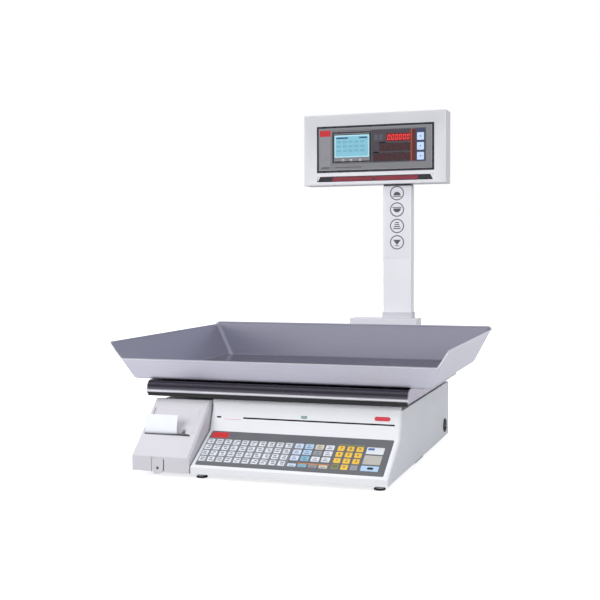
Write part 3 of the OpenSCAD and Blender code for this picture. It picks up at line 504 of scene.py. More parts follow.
# The pocket over the label slot, from the lower left corner of the drawer's slope: left end and right
# end of its floor, its shell's thickness, and sections up the slope as place, floor depth and top of
# the right cheek
POCKET_U = (4.5, 76.0)
POCKET_SHELL = 1.1
POCKET_CUTS = [(44.4, 5.4, 84.0), (62.0, 3.6, 81.5), (90.0, 2.4, 79.0), (93.0, 0.0, 77.0)]
drawer_slope = plane_of("printer_cover", X, (0, -0.6, 1))
drawer_slope.origin += drawer_slope.v * ((drawer_low.y - drawer_slope.origin.y) / drawer_slope.v.y)


def pocket(drop):
    """Tapering wedge that is deepest at the slot, sunk by drop."""
    left, right = POCKET_U
    bm = bmesh.new()
    rings = []
    for v, depth, cheek in POCKET_CUTS:
        over = (cheek - right) / depth if depth else 1.0
        section = [(left, -depth), (right, -depth), (cheek + over, 1.0), (left, 1.0)]
        rings.append([bm.verts.new(drawer_slope.at(u, v, n - drop)) for u, n in section])
    bridge(bm, rings)
    bm.faces.new(rings[0])
    bm.faces.new(list(reversed(rings[-1])))
    bmesh.ops.triangulate(bm, faces=bm.faces)
    return bm


cover = combine(combine(cad_copy("printer_cover"), pocket(POCKET_SHELL), "UNION"), pocket(0), "DIFFERENCE")

rounded("housing", 1.0, special=on_right_outline, special_radius=5.0)
# The drawer's shell gets the darker copy of the ABS through its slot, a painted shade
rounded("printer_cover", 0.7, special=on_right_shoulder, special_radius=1.9, source=cover, sharp=25)
rounded("release_tab", 0.5, 2)
# The head's shells get the darker copy of the ABS, a painted shade
for head_part in (rounded("head_front", 0.6, 5, sharp=19), rounded("head_back", 1.2, 3)):
    head_part.data.materials[0] = looks["abs_head_painted_shade"]
rounded("post_bracket", 1.0, 2)
rounded("post", 1.5, 3)
rounded("post_boot", 1.0, 2)
for switch_part in (rounded("switch_bezel", 0.5, 2), rounded("switch_rocker", 0.4, 2)):
    switch_part.data.materials[0] = looks["switch_black"]
rounded("badge", 0.25, 2)
rounded("mains_inlet", 0.5, 2)
rounded("swivel_collar", 0.5, 2)

# ---- Pan ----

pan_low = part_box("pan")[0]
HEM = 1.1
SHEET = 1.2
FLANGE_H = 57.0
# Rim heights at the front, right, back and left
RIM = (32.0, FLANGE_H, 62.0, FLANGE_H)
BOTTOM = (461.0, 388.0)
# How far the side, front and back walls lean out over the flange's height
LEAN = (29.4, 24.8, 7.0)
CORNER_R = 9.0
FOLD_H = 2.2
FOLD_RINGS = ((3.6, 0.0), (1.7, 0.15), (0.5, 0.7), (0.0, FOLD_H))
# Height below which a face belongs to the floor, which gets the darker steel: painted dark reflection
FLOOR_EDGE = 0.8
# Share of the front corners over which the rim keeps the front's height
LOW_SHARE = 0.35


def pan_loop():
    """Stations round the pan: side or corner number, fraction along it and rim height."""
    stations = []
    for k in range(4):
        stations += [("side", k, f / 16, RIM[k]) for f in range(1, 16)]
        climb = RIM[(k + 1) % 4] - RIM[k]
        for f in range(13):
            t = f / 12
            if k == 0:
                t = max(0.0, (t - LOW_SHARE) / (1 - LOW_SHARE))
            elif k == 3:
                t = min(1.0, t / (1 - LOW_SHARE))
            stations.append(("corner", k, f / 12, RIM[k] + climb * t * t * (3 - 2 * t)))
    return stations


def pan_point(kind, k, f, height, inset=0.0):
    """Point of the pan's wall at a height above its floor, pulled inwards by inset."""
    g = height / FLANGE_H
    y_front = pan_low.y / MM + HEM + 0.1 + LEAN[1]
    x = BOTTOM[0] / 2 + LEAN[0] * g - inset
    front = y_front - LEAN[1] * g + inset
    back = y_front + BOTTOM[1] + LEAN[2] * g - inset
    r = CORNER_R - inset * 0.5
    centres = ((x - r, front + r), (x - r, back - r), (-x + r, back - r), (-x + r, front + r))
    if kind == "corner":
        a = math.radians(-90 + 90 * k + 90 * f)
        cx, cy = centres[k]
        px, py = cx + r * math.cos(a), cy + r * math.sin(a)
    else:
        a = math.radians(-90 + 90 * k)
        (ax, ay), (bx, by) = centres[k - 1], centres[k]
        px = ax + (bx - ax) * f + r * math.cos(a)
        py = ay + (by - ay) * f + r * math.sin(a)
    return Vector((px, py, pan_low.z / MM + height)) * MM


def build_pan():
    loop = pan_loop()
    bm = bmesh.new()
    rings = []
    for inset, height in FOLD_RINGS:
        rings.append([bm.verts.new(pan_point(*s[:3], height, inset)) for s in loop])
    for share in (0.12, 0.3, 0.5, 0.7, 0.85, 0.95, 1.0):
        rings.append([bm.verts.new(pan_point(*s[:3], FOLD_H + (s[3] - FOLD_H - HEM) * share)) for s in loop])
    bridge(bm, rings)
    bm.faces.new(list(reversed(rings[0])))
    pan = add_piece("weighing_pan", bm, "stainless", "pan", ["pan"])
    # The floor faces get the darker copy of the steel, a painted dark reflection
    pan.data.materials.append(looks["pan_floor_painted_reflection"])
    for polygon in pan.data.polygons:
        polygon.material_index = int(polygon.center.z < pan_low.z + FLOOR_EDGE * MM)
    wall = pan.modifiers.new("sheet", "SOLIDIFY")
    wall.thickness = SHEET * MM
    wall.offset = -1
    pan.modifiers.move(1, 0)
    rim = [pan_point(*s[:3], s[3] - HEM) for s in loop]
    # The hem is of the brighter steel, a painted highlight
    tube("pan_hem", rim, HEM * MM, "bead_steel_painted_highlight", "pan")


build_pan()

# ---- Platter ----

platter_low, platter_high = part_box("platter")
PLATTER_W = (platter_high.x - platter_low.x) / MM
PLATTER_D = (platter_high.y - platter_low.y) / MM
SKIRT = 20.0
NOSE_R = 11.5
# Drop of the deck's front, whose dark steel is a painted reflection
DARK_REFLECTION_H = 12.5
BEAD_R = 3.2
BEAD_Z = -14.9
# Black strip below the front bead, a painted shadow of the gap under the front edge, as depths behind the
# front and heights from the deck
SHADOW_TRIM = (1.2, -23.2, 3.6, -17.4)
across = Plane((platter_low.x, platter_low.y, platter_high.z), Y, Z)


def nose(inset):
    """Quarter circle from the deck down to the front, as depth and height, inset from the face."""
    r = NOSE_R - inset
    return [(NOSE_R - r * math.sin(math.radians(9 * k)), r * math.cos(math.radians(9 * k)) - NOSE_R)
            for k in range(11)]


def build_platter():
    """Dark deck rolled over at front and back, its dark steel a painted reflection; side plates; a bright
    bead along each edge, whose brighter steel is a painted highlight; and a black trim strip below the front
    one, a painted shadow."""
    face = nose(0) + [(0.0, -DARK_REFLECTION_H)]
    inner = nose(SHEET) + [(SHEET, -DARK_REFLECTION_H)]
    outline = (face[::-1] + [(PLATTER_D - y, z) for y, z in face]
               + [(PLATTER_D - y, z) for y, z in inner[::-1]] + inner)
    bm = bmesh.new()
    add_prism(bm, across, outline, SHEET, PLATTER_W - SHEET)
    add_piece("platter_sheet", bm, "platter_painted_dark_reflection", "platter", ["platter"], 30)
    half = [(0.3, -SKIRT)] + [(max(y, 0.3), z) for y, z in face[::-1]]
    plate = half + [(PLATTER_D - y, z) for y, z in half[::-1]]
    bm = bmesh.new()
    add_prism(bm, across, plate, 0, SHEET)
    add_prism(bm, across, plate, PLATTER_W - SHEET, PLATTER_W)
    add_piece("platter_sides", bm, "platter_side", "platter", sharp=30)
    turns = [k * math.tau / 24 for k in range(24)]
    circle = [(BEAD_R + BEAD_R * math.cos(a), BEAD_Z + BEAD_R * math.sin(a)) for a in turns]
    bm = bmesh.new()
    add_prism(bm, across, circle, 0.05, PLATTER_W - 0.05)
    add_prism(bm, across, [(PLATTER_D - y, z) for y, z in circle], 0.05, PLATTER_W - 0.05)
    add_piece("platter_beads", bm, "bead_steel_painted_highlight", "platter", sharp=50)
    bm = bmesh.new()
    # Black rubber strip standing for the shadow under the platter's front edge: painted shadow
    add_prism(bm, across, rounded_rect(*SHADOW_TRIM, 0.6), 1.5, PLATTER_W - 1.5)
    add_piece("platter_shadow_trim", bm, "rubber", "platter", sharp=50)


build_platter()

# ---- Load cell, cut into short lengths ----

BEND_CUTS = 14


def build_load_beam():
    """Copy of the load cell, cut across into short lengths."""
    bm = cad_copy("load_cell")
    start = Vector((0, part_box("cell_base_block")[1].y, 0))
    end = Vector((0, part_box("load_pillar")[0].y, 0))
    for k in range(BEND_CUTS + 1):
        bmesh.ops.bisect_plane(bm, geom=bm.verts[:] + bm.edges[:] + bm.faces[:],
                               plane_co=start.lerp(end, k / BEND_CUTS), plane_no=Y)
    beam = add_piece("load_beam", bm, "cell_aluminium", None, ["load_cell"])
    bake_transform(beam)


build_load_beam()

# ---- Label ----

# The label stands taller than the CAD's strip and leans back by LABEL_LEAN at LABEL_H over the slot
LABEL_STRETCH = 1.13
LABEL_LEAN, LABEL_H = 2.4, 24.0
SLOT_V = 42.6


def build_label():
    bm = cad_copy("paper_strip")
    slot_level = drawer_slope.at(0, SLOT_V, 0).z
    for vertex in bm.verts:
        if vertex.co.z > slot_level:
            rise = vertex.co.z - slot_level
            vertex.co.z = slot_level + rise * LABEL_STRETCH
            vertex.co.y += LABEL_LEAN * MM * (rise / (LABEL_H * MM)) ** 2
    add_piece("label_web", bm, "paper", "drawer", ["paper_strip"], 60)


build_label()

# ---- Feet ----

FOOT_DISC = [(0, 0), (6.6, 0), (7.6, 0.25), (8.2, 0.9), (8.2, 1.9), (7.9, 2.3), (5.9, 2.4), (0, 2.4)]
FOOT_STUD = [(0, 2.3), (5.5, 2.3), (5.8, 2.6), (5.8, 7.2), (5.3, 7.8), (2.9, 7.8), (2.9, 19.5), (0, 19.5)]


def build_foot(place):
    """Ribbed rubber disc on a plastic stud."""
    low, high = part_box("foot_" + place)
    base = Plane(((low.x + high.x) / 2, (low.y + high.y) / 2, low.z), X, Y)
    body = "foot_" + "".join(word[0] for word in place.split("_"))
    bm = bmesh.new()
    add_turned(bm, base, FOOT_DISC, steps=96, ribs=(3, 4), rib_depth=0.25)
    add_piece("foot_pad_" + place, bm, "rubber", body, ["foot_" + place])
    bm = bmesh.new()
    add_turned(bm, base, FOOT_STUD, steps=64)
    add_piece("foot_stud_" + place, bm, "grey_plastic", body)


for foot_place in ("front_left", "front_right", "rear_left", "rear_right"):
    build_foot(foot_place)

# ---- Keypad ----

# Keys are placed from the film's lower left corner, and stand PROUD of it
KEY_ROW = 12.8
KEY_H = 10.0
SHORT_KEY_H = 6.0
KEYS_AT = 8.0
PROUD = 0.6
ROWS = range(4)
ITEM_KEYS = (1.4, 13.35, 9.8, 10)
FUNCTION_U, FUNCTION_PITCH, FUNCTION_W = 136.0, 15.2, 12.4
NUMBER_U = 199.2
LAST_U = (241, 266)
FIGURES = ["00", "0", ".", "1", "2", "3", "4", "5", "6", "7", "8", "9"]
# Looks of the function keys, from the lowest row up
FUNCTION_COLORS = [["key_blue_white", "key_teal", "key_grey", "key_beige"],
                   ["key_blue_white", "key_teal", "key_white", "key_white"],
                   ["key_blue_white", "key_light_blue", "key_grey", "key_white"],
                   ["key_blue_white", "key_light_blue", "key_beige", "key_white"]]
FILM_W, FILM_H = 275.0, 75.0
film = plane_of("keypad_film", X, (0, -0.5, 1))


def key_rects(u, pitch, w, count, rows, height=KEY_H):
    return [(u + k * pitch, KEYS_AT + j * KEY_ROW, u + k * pitch + w, KEYS_AT + j * KEY_ROW + height)
            for j in rows for k in range(count)]


def key_group(name, rects, look):
    bm = bmesh.new()
    for rect in rects:
        add_pillow(bm, film, rounded_rect(*rect, 1.0), -PROUD, -0.1, 0.25, 0.08)
    return add_piece(name, bm, look, "base", sharp=60)


number_rects = key_rects(NUMBER_U, 13.6, 10, 3, ROWS)


def film_prints(name, rects, color, n0=0.0, r=0.3):
    return prints(name, film, rects, color, "base", n0, n0 + 0.1, r)


def build_film():
    bm = bmesh.new()
    add_pillow(bm, film, rounded_rect(0, 0, FILM_W, FILM_H, 1.5), -PROUD - 1.0, -PROUD, 0.15, 0.0)
    add_piece("keypad_sheet", bm, "film_grey", "base", ["keypad_film"])
    prints("item_key_field", film, [(0.6, 6.9, 134.6, 57.6)], "field_grey", "base",
           -PROUD, -PROUD + 0.06, 0.8)


def build_function_keys():
    """Four rows of coloured keys, one piece to each colour; the lowest row is short."""
    by_color = {}
    for j in ROWS:
        for k in range(4):
            place = FUNCTION_U + k * FUNCTION_PITCH
            rects = key_rects(place, 0, FUNCTION_W, 1, [j], KEY_H if j else SHORT_KEY_H)
            by_color.setdefault(FUNCTION_COLORS[j][k], []).extend(rects)
    for color, rects in by_color.items():
        key_group("keys_function_" + color[4:], rects, color)


def build_keys():
    key_group("keys_item", key_rects(*ITEM_KEYS, ROWS), "key_white")
    build_function_keys()
    key_group("keys_number", number_rects[1:2] + number_rects[3:], "key_yellow")
    key_group("keys_number_left", number_rects[:1], "key_khaki")
    key_group("keys_number_right", number_rects[2:3], "key_grey")
    left, right = LAST_U
    key_group("key_enter", [(left, KEYS_AT, right, 18.5)], "key_light_blue")
    key_group("key_total", [(left, 21.5, right, 40)], "key_greige")
    key_group("key_clear", [(left, 43, right, 57)], "key_white")


def build_key_marks():
    """Two short dashes stand for the words on each item key, and one or two on a function key."""
    random.seed(5)
    marks = []
    for u0, v0, u1, v1 in key_rects(*ITEM_KEYS, ROWS):
        for v in (v0 + 2.2, v0 + 6.0):
            length = random.uniform(4.0, 6.8)
            start = u0 + random.uniform(1.2, 8.6 - length)
            marks.append((start, v, start + length, v + 1.8))
    for j in ROWS:
        for k in range(4):
            u0 = FUNCTION_U + k * FUNCTION_PITCH
            v0 = KEYS_AT + j * KEY_ROW + (2 if j else 1.2)
            marks.append((u0 + 2.5, v0, u0 + 9.6, v0 + 1.3))
            if j:
                marks.append((u0 + 3.5, v0 + 3.6, u0 + 8.2, v0 + 4.9))
    film_prints("key_marks", marks, "print_mark")


def build_film_prints():
    film_prints("film_red_block", [(2.5, 60, 28.5, 72)], "print_red", -PROUD, 0.8)
    film_prints("film_orange_line", [(150, 14.8, 196, 16.4)], "print_orange", -PROUD)
    film_prints("film_khaki_line", [(NUMBER_U, 58.2, 236.4, 60.2)], "key_khaki", -PROUD)
    film_prints("key_blue_block", [(243, 50.5, 252, 55)], "print_blue", 0.0, 0.6)
    film_prints("key_dark_oval", [(250, 11, 259, 15.5)], "print_dark", 0.0, 2.2)


def add_text(bm, plane, text, u, v, size, n0, n1):
    """Figures in relief, centred on a point of a plane."""
    curve = bpy.data.curves.new("figure", "FONT")
    curve.body = text
    curve.align_x = "CENTER"
    curve.align_y = "CENTER"
    curve.size = size
    curve.resolution_u = 2
    curve.extrude = (n1 - n0) / 2
    holder = bpy.data.objects.new("figure", curve)
    scene.collection.objects.link(holder)
    bpy.context.view_layer.update()
    mesh = bpy.data.meshes.new_from_object(holder.evaluated_get(bpy.context.evaluated_depsgraph_get()))
    bpy.data.objects.remove(holder)
    middle = (n0 + n1) / 2
    for vertex in mesh.vertices:
        vertex.co = plane.at(u + vertex.co.x, v + vertex.co.y, middle + vertex.co.z)
    bm.from_mesh(mesh)


def build_key_figures():
    bm = bmesh.new()
    for text, (u0, v0, u1, v1) in zip(FIGURES, number_rects):
        add_text(bm, film, text, (u0 + u1) / 2, (v0 + v1) / 2, 7.0, -0.05, 0.08)
    add_piece("key_figures", bm, "print_dark", "base")


build_film()
build_keys()
build_key_marks()
build_film_prints()
build_key_figures()

# ---- Upper panel ----

panel = plane_of("badge", X, (0, -1, 0.3))
prints("panel_bar", panel, [(-229, -8.6, -202, -7.4)], "print_pink", "base",
       -0.8, -0.72, 0.3)

LIP_RISE = 5.6
LIP_T = 2.4
LIP_ROOT = 1.6


def build_deck_lip():
    """The panel runs on above the deck as a lip, from LIP_ROOT below the crest."""
    crest = min(v.co.y for v in nodes["housing"].data.vertices
                if lies_at(v.co.z, console_high.z) and v.co.x > drawer_high.x + 5 * MM)
    place = Plane((drawer_high.x + 0.6 * MM, crest - 0.04 * MM, console_high.z), Y, Z)
    y, z = panel.v.y * LIP_RISE, panel.v.z * LIP_RISE
    outline = [(-panel.v.y * LIP_ROOT, -panel.v.z * LIP_ROOT), (y - 0.3, z - 0.5), (y + 0.2, z),
               (y + LIP_T, z), (y + LIP_T, -1.0)]
    bm = bmesh.new()
    add_prism(bm, place, outline, 0, (console_high.x - drawer_high.x) / MM - 2.6)
    add_piece("deck_lip", bm, "abs", "base")


build_deck_lip()

# ---- Display head ----

window_low, window_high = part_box("head_window")
pane = Plane((window_low.x, window_low.y, window_high.z), X, Z)
WINDOW_W = (window_high.x - window_low.x) / MM
WINDOW_H = (window_high.z - window_low.z) / MM


def down(u0, d0, u1, d1):
    """Rect given by depths below the window's top edge."""
    return (u0, -d1, u1, -d0)


def frame_rects(u0, d0, u1, d1, t):
    """Four bars round a rectangle."""
    return [down(u0, d0, u1, d0 + t), down(u0, d1 - t, u1, d1), down(u0, d0 + t, u0 + t, d1 - t),
            down(u1 - t, d0 + t, u1, d1 - t)]


def pane_prints(name, rects, look, n0=0.0, n1=0.1, r=0.3):
    return prints(name, pane, rects, look, "head", n0, n1, r)


def build_pane():
    """Printed frame and fields of the overlay."""
    pane_prints("pane_border", frame_rects(0, 0, WINDOW_W, WINDOW_H, 3.5), "pane_border", n1=0.12)
    pane_prints("pane_inner_line", frame_rects(3.9, 3.9, WINDOW_W - 3.9, WINDOW_H - 3.9, 0.5), "pane_line")
    pane_prints("pane_red_block", [down(5.6, 7.2, 26.3, 18.1)], "pane_red", r=0.6)
    pane_prints("pane_light_field", [down(5.6, 18.4, 25.4, 76)], "pane_light")
    lines = [down(101.5, 9.5, 102.6, 67.5), down(8.5, 74.5, 24.4, 75.8), down(35, 74.5, 85, 75.8)]
    pane_prints("pane_outline", frame_rects(29, 8.5, 203.5, 68.5, 1.0) + lines, "pane_outline")
    # What is left of the dark field round the three digit windows
    rests = [down(103, 9.6, 130.3, 33.2), down(103, 33.2, 117.3, 50.8), down(103, 50.8, 106.3, 67.4),
             down(130.3, 9.6, 175.6, 15.8), down(117.3, 31.7, 175.6, 33.3), down(106.3, 49.2, 175.6, 50.8),
             down(106.3, 66.7, 175.6, 67.4)]
    pane_prints("display_field", rests, "pane_dark", r=0, n1=0.09)
    pane_prints("pads_field", [down(185, 9.6, 202.4, 67.4)], "pane_navy", r=0, n1=0.06)


def build_lcd():
    """Lit graphic display behind its bezel."""
    pane_prints("lcd_bezel", frame_rects(30, 11, 102.5, 66.5, 2.6), "pane_border")
    pane_prints("lcd_ring", [down(33.4, 16.8, 99.0, 57.2)], "lcd_border", -0.75, -0.55)
    pane_prints("lcd_field", [down(35.6, 19.0, 96.8, 55.0)], "lcd_inner", -0.6, -0.45)
    pane_prints("lcd_marks", [down(37, 20.6, 59, 23.4), down(80, 20.6, 95, 23.4)], "lcd_mark",
                -0.5, -0.38)
    faint = [down(38 + 11 * k, 27 + 8 * j, 46 + 11 * k, 31 + 8 * j) for j in range(3) for k in range(5)]
    pane_prints("lcd_faint_marks", faint, "lcd_faint", -0.5, -0.38)
    bm = bmesh.new()
    for u in (50, 65, 82):
        add_annulus(bm, pane, u, -62.6, 2.3, 1.2, 0, 0.1, 24)
    add_piece("pane_round_marks", bm, "white_mark", "head")


# Displays: left end on the pane, distance of the top edge below the pane's top, figures
LED_ROWS = [(130.5, 16.0, "000000"), (117.5, 33.5, ""), (106.5, 51.0, "")]
LED_RIGHT, LED_H = 183.0, 15.5
LED_COUNT = 6
SEGMENTS = {"0": "abcdef", "1": "bc", "2": "abged", "3": "abgcd", "4": "fgbc", "5": "afgcd", "6": "afgecd",
            "7": "abc", "8": "abcdefg", "9": "abcfgd"}


def add_figure(bm, u, v, w, h, figure, n0, n1):
    """Seven-segment figure with its lower left corner at u, v."""
    t = w * 0.2
    gap = t * 0.4
    lean = 0.1
    middle = h / 2
    bars = {"a": (t, h - t, w - t, h), "g": (t, middle - t / 2, w - t, middle + t / 2),
            "d": (t, 0, w - t, t), "f": (0, middle + gap, t, h - gap),
            "b": (w - t, middle + gap, w, h - gap), "e": (0, gap, t, middle - gap),
            "c": (w - t, gap, w, middle - gap)}
    for segment in SEGMENTS[figure]:
        u0, v0, u1, v1 = bars[segment]
        outline = [(u + p + lean * q, v + q) for p, q in ((u0, v0), (u1, v0), (u1, v1), (u0, v1))]
        add_prism(bm, pane, outline, n0, n1)


def build_led_rows():
    """Digit windows: the top one is lit, the others show their unlit figures."""
    faces = []
    lit = bmesh.new()
    dim = bmesh.new()
    for left, top, figures in LED_ROWS:
        faces.append(down(left + 0.4, top + 0.4, LED_RIGHT - 0.4, top + LED_H - 0.4))
        pitch = (175 - left - 2) / LED_COUNT
        for k in range(LED_COUNT):
            target = lit if figures else dim
            add_figure(target, left + 2.2 + k * pitch, -(top + LED_H - 3.0), pitch * 0.66, 9.6,
                       figures[k] if figures else "8", -0.52, -0.45)
    pane_prints("led_lit_face", faces[:1], "led_field", -0.6, -0.5)
    pane_prints("led_faces", faces[1:], "led_filter", -0.6, -0.5)
    add_piece("led_figures", lit, "led_lit", "head")
    add_piece("led_unlit_figures", dim, "led_dim", "head")
    pane_prints("led_line", [down(175.6, 10, 178.4, 67)], "orange_dim", 0.0, 0.1)
    pane_prints("led_margin", [down(178.4, 10, 185, 67)], "rust", 0.0, 0.1)


def build_side_pads():
    """A pale pad with a dot right of each digit window, and two marks left of the top one."""
    tops = [top for left, top, figures in LED_ROWS]
    pane_prints("side_pads", [down(187.2, top + 1, 199.8, top + 14.5) for top in tops], "pad_blue", r=1.2)
    pane_prints("side_pad_dots", [down(192.4, top + 6.4, 194.8, top + 8.8) for top in tops],
                "print_blue", n0=0.08, n1=0.16, r=1.2)
    pane_prints("row_marks", [down(108 + 9.5 * k, 17.5, 115.5 + 9.5 * k, 28.5) for k in range(2)],
                "pane_outline", r=0.8)


STRIP_SLANT = 5.0
strip_low, strip_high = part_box("strip_lens")
strip = Plane(strip_low, X, Z)
STRIP_W = (strip_high.x - strip_low.x) / MM
STRIP_H = (strip_high.z - strip_low.z) / MM


def build_strip():
    """Dark masks on the red strip below the window, and white corners that slant its ends."""
    masks = [(0.3, 0.3, 29, STRIP_H - 0.3), (STRIP_W - 28, 0.3, STRIP_W - 0.3, STRIP_H - 0.3),
             (104, 2.5, 108, 6.5), (28, 0, STRIP_W - 27, 0.9),
             (28, STRIP_H - 0.9, STRIP_W - 27, STRIP_H)]
    prints("strip_ends", strip, masks, "pane_border", "head", 0, 0.1, 0.4)
    bm = bmesh.new()
    for outline in ([(0, 0), (STRIP_SLANT, STRIP_H), (0, STRIP_H)],
                    [(STRIP_W, 0), (STRIP_W, STRIP_H), (STRIP_W - STRIP_SLANT, STRIP_H)]):
        add_prism(bm, strip, outline, 0, 0.9)
    add_piece("strip_corners", bm, "abs", "head")


build_pane()
build_lcd()
build_led_rows()
build_side_pads()
build_strip()

# ---- Post label ----

label_low, label_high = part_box("post_label")
TAG_W = (label_high.x - label_low.x) / MM
tag = Plane(((label_low.x + label_high.x) / 2, label_low.y, 0), X, Z)
ICONS = ("heap", "bowl", "lines", "cup")
ICON_TOP, ICON_PITCH = 428.5, 29.5


def half_disc(cu, cv, r, turn, steps=18):
    return [(cu + r * math.cos(math.pi * k / steps + turn), cv + r * math.sin(math.pi * k / steps + turn))
            for k in range(steps + 1)]


def icon_shapes(icon, v):
    """Outlines of a plain pictogram whose middle is at height v."""
    if icon == "heap":
        return [half_disc(0, v - 4, 6.5, 0), rounded_rect(-8, v - 6.6, 8, v - 5.2, 0.5)]
    if icon == "bowl":
        return [half_disc(0, v + 2, 7, math.pi), rounded_rect(-8.5, v + 3.2, 8.5, v + 4.6, 0.5)]
    if icon == "lines":
        return [rounded_rect(-6.5 + k, v - 5.5 + 3.6 * k, 6.5 - k, v - 3.7 + 3.6 * k, 0.6)
                for k in range(4)]
    return [[(0, v - 5), (7, v + 4.5), (-7, v + 4.5)], rounded_rect(-4, v - 7, 4, v - 5.6, 0.5)]


def build_post_label():
    outline = rounded_rect(-TAG_W / 2, label_low.z / MM, TAG_W / 2, label_high.z / MM, 2.0)
    bm = bmesh.new()
    add_prism(bm, tag, outline, -0.35, 0.0)
    add_piece("post_label_film", bm, "label_film", "base", ["post_label"])
    bm = bmesh.new()
    for place, icon in enumerate(ICONS):
        v = ICON_TOP - place * ICON_PITCH
        add_annulus(bm, tag, 0, v, 12.9, 11.1, -0.02, 0.08)
        for shape in icon_shapes(icon, v):
            add_prism(bm, tag, shape, -0.02, 0.08)
    add_piece("post_icons", bm, "icon_grey", "base")


build_post_label()

# ---- Small parts ----

# Tear bar's outline just below the label slot, higher towards its right end; partly a real tear bar, partly
# painted shadow of the slot
BLADE = [(5.5, -0.4), (77.5, -0.4), (77.5, 2.0), (42, 1.1), (5.5, 0.7)]
TAB_EYE_Z = 13.5
TAB_EYE = [(0, -0.55), (1.9, -0.55), (2.0, -0.65), (2.0, -1.4)]


def build_side_strip():
    side = Plane((console_high.x, console_low.y, console_low.z), Y, Z)
    prints("side_rubber_strip", side, [(171, -1.2, 228, 0.3)], "rubber", "base",
           -1.5, -0.05, 0.3)


def build_tear_bar():
    # Dark bar at the slot: partly a tear bar, partly painted shadow of the slot
    blade = Plane(drawer_slope.at(0, SLOT_V - 1.4, 0), X, drawer_slope.n)
    bm = bmesh.new()
    add_prism(bm, blade, BLADE, 0, 1.3)
    add_piece("tear_bar_and_slot_shadow", bm, "dark_plastic", "drawer")


def build_rocker_mark():
    low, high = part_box("switch_rocker")
    middle = (low + high) / 2
    bm = bmesh.new()
    add_annulus(bm, Plane((high.x, middle.y, middle.z), Y, Z), 0, 0, 3.2, 1.6, -0.1, 0.1, 32)
    add_piece("rocker_mark", bm, "white_mark", body_name("switch_rocker"))


def build_tab_marks():
    """Dot low on the release tab, and a dark line beside it, a painted shadow of the slit."""
    low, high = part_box("release_tab")
    front = Plane(((low.x + high.x) / 2, drawer_low.y, 0), X, Z)
    bm = bmesh.new()
    add_turned(bm, Plane(front.at(0, TAB_EYE_Z), X, Z), TAB_EYE, 32)
    add_piece("tab_eye", bm, "icon_grey", "tab")
    # Dark line beside the tab: painted shadow of the slit
    prints("tab_slit_painted_shadow", front, [(9.7, 10.5, 10.9, 26.5)], "print_dark", "drawer",
           0.02, 0.1, 0.4)


build_side_strip()
build_tear_bar()
build_rocker_mark()
build_tab_marks()

# ---- Floor, light and camera ----

FLOOR = 40.0
floor_mesh = bpy.data.meshes.new("floor")
floor_corners = [(-FLOOR, -FLOOR, 0), (FLOOR, -FLOOR, 0), (FLOOR, FLOOR, 0), (-FLOOR, FLOOR, 0)]
floor_mesh.from_pydata(floor_corners, [], [(0, 1, 2, 3)])
floor = bpy.data.objects.new("floor", floor_mesh)
scene.collection.objects.link(floor)
add_look("floor", (246, 246, 248), 0.8, tint=0.003, patch=2, depth=0.01, glow=(255, 255, 255), power=0.7)
floor_mesh.materials.append(looks["floor"])


def temper(material, soft_level, mirror_level):
    """The floor looks white, but sends less light back to the object: soft_level to matt surfaces
    and mirror_level to steel."""
    tree = material.node_tree
    path = tree.nodes.new("ShaderNodeLightPath")
    shader = tree.nodes["Principled BSDF"].outputs["BSDF"]
    for ray, level in (("Is Diffuse Ray", soft_level), ("Is Glossy Ray", mirror_level)):
        grey = tree.nodes.new("ShaderNodeBsdfDiffuse")
        grey.inputs["Color"].default_value = (level, level, level * 1.02, 1)
        mix = tree.nodes.new("ShaderNodeMixShader")
        tree.links.new(path.outputs[ray], mix.inputs["Fac"])
        tree.links.new(shader, mix.inputs[1])
        tree.links.new(grey.outputs["BSDF"], mix.inputs[2])
        shader = mix.outputs["Shader"]
    tree.links.new(shader, tree.nodes["Material Output"].inputs["Surface"])


temper(looks["floor"], soft_level=0.42, mirror_level=0.9)


def add_light(name, place, target, size, power, tone=(1, 1, 1)):
    light = bpy.data.lights.new(name, "AREA")
    light.shape = "RECTANGLE"
    light.size, light.size_y = size
    light.energy = power
    light.color = tone
    ob = bpy.data.objects.new(name, light)
    ob.location = place
    ob.rotation_euler = (Vector(target) - Vector(place)).to_track_quat("-Z", "Y").to_euler()
    ob.visible_glossy = False
    scene.collection.objects.link(ob)


add_light("key", (-1.1, -2.6, 1.3), (0, 0, 0.25), (1.8, 1.4), 44)
add_light("right", (2.6, -0.4, 1.0), (0, 0, 0.15), (1.6, 1.2), 12)
add_light("rear", (-0.7, 2.7, 1.3), (0, 0, 0.25), (1.8, 1.4), 16)
add_light("top", (0.0, -0.6, 2.6), (0, 0, 0.1), (2.2, 2.2), 15)


def ramp_of(tree, value, stops):
    """Colour ramp over a value: each stop is a place and three levels."""
    ramp = tree.nodes.new("ShaderNodeValToRGB")
    while len(ramp.color_ramp.elements) < len(stops):
        ramp.color_ramp.elements.new(0.5)
    for element, (where, color) in zip(ramp.color_ramp.elements, stops):
        element.position = where
        element.color = (*color, 1)
    tree.links.new(value, ramp.inputs["Fac"])
    return ramp.outputs["Color"]


SOFT_LEVEL = 0.62


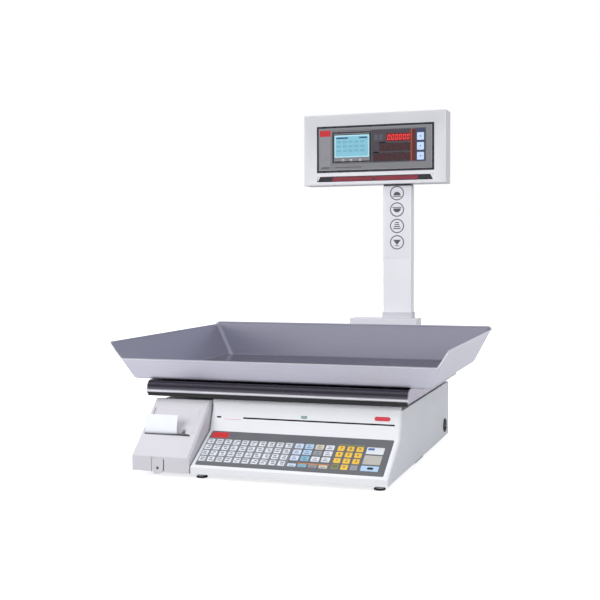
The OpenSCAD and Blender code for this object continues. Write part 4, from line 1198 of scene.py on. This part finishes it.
def build_world():
    """White backdrop. Soft light is weaker from the right. What steel mirrors is bright near the
    horizon and falls to dark overhead; the stops are sines of elevation."""
    world = bpy.data.worlds.new("studio")
    scene.world = world
    world.use_nodes = True
    tree = world.node_tree
    tree.nodes.clear()
    split = tree.nodes.new("ShaderNodeSeparateXYZ")
    place = tree.nodes.new("ShaderNodeTexCoord")
    tree.links.new(place.outputs["Generated"], split.inputs["Vector"])
    sideways = tree.nodes.new("ShaderNodeMapRange")
    sideways.inputs["From Min"].default_value = -1
    tree.links.new(split.outputs["X"], sideways.inputs["Value"])
    soft = tree.nodes.new("ShaderNodeBackground")
    soft_light = [(0.0, (0.95, 0.95, 0.95)), (0.5, (0.94, 0.95, 0.98)), (1.0, (0.9, 0.94, 1.0))]
    tree.links.new(ramp_of(tree, sideways.outputs["Result"], soft_light), soft.inputs["Color"])
    soft.inputs["Strength"].default_value = SOFT_LEVEL
    mirror = tree.nodes.new("ShaderNodeBackground")
    mirrored = [(0.0, (1.0, 1.0, 1.0)), (0.1, (0.85, 0.85, 0.88)), (0.17, (0.46, 0.47, 0.53)),
                (0.23, (0.37, 0.38, 0.48)), (0.31, (0.31, 0.32, 0.41)), (0.42, (0.27, 0.28, 0.34)),
                (0.65, (0.36, 0.36, 0.4)), (0.8, (0.85, 0.86, 0.9)), (1.0, (0.7, 0.71, 0.75))]
    tree.links.new(ramp_of(tree, split.outputs["Z"], mirrored), mirror.inputs["Color"])
    white = tree.nodes.new("ShaderNodeBackground")
    white.inputs["Color"].default_value = (1, 1, 1, 1)
    path = tree.nodes.new("ShaderNodeLightPath")
    by_glossy = tree.nodes.new("ShaderNodeMixShader")
    by_camera = tree.nodes.new("ShaderNodeMixShader")
    tree.links.new(path.outputs["Is Glossy Ray"], by_glossy.inputs["Fac"])
    tree.links.new(soft.outputs["Background"], by_glossy.inputs[1])
    tree.links.new(mirror.outputs["Background"], by_glossy.inputs[2])
    tree.links.new(path.outputs["Is Camera Ray"], by_camera.inputs["Fac"])
    tree.links.new(by_glossy.outputs["Shader"], by_camera.inputs[1])
    tree.links.new(white.outputs["Background"], by_camera.inputs[2])
    out = tree.nodes.new("ShaderNodeOutputWorld")
    tree.links.new(by_camera.outputs["Shader"], out.inputs["Surface"])


build_world()
scene.view_settings.view_transform = "Standard"

# The photograph's point of view: place in metres, then degrees round, down and rolled
CAMERA_AT = (0.5171, -1.5993, 0.3206)
CAMERA_TURN, CAMERA_DIP, CAMERA_ROLL = 18.61, 2.57, -0.26
camera_data = bpy.data.cameras.new("camera")
camera_data.lens = 62.19
camera_data.sensor_width = 36
camera = bpy.data.objects.new("camera", camera_data)
camera.matrix_world = (Matrix.Translation(CAMERA_AT)
                       @ Matrix.Rotation(math.radians(CAMERA_TURN), 4, "Z")
                       @ Matrix.Rotation(math.radians(90 - CAMERA_DIP), 4, "X")
                       @ Matrix.Rotation(math.radians(CAMERA_ROLL), 4, "Z"))
scene.collection.objects.link(camera)
scene.camera = camera
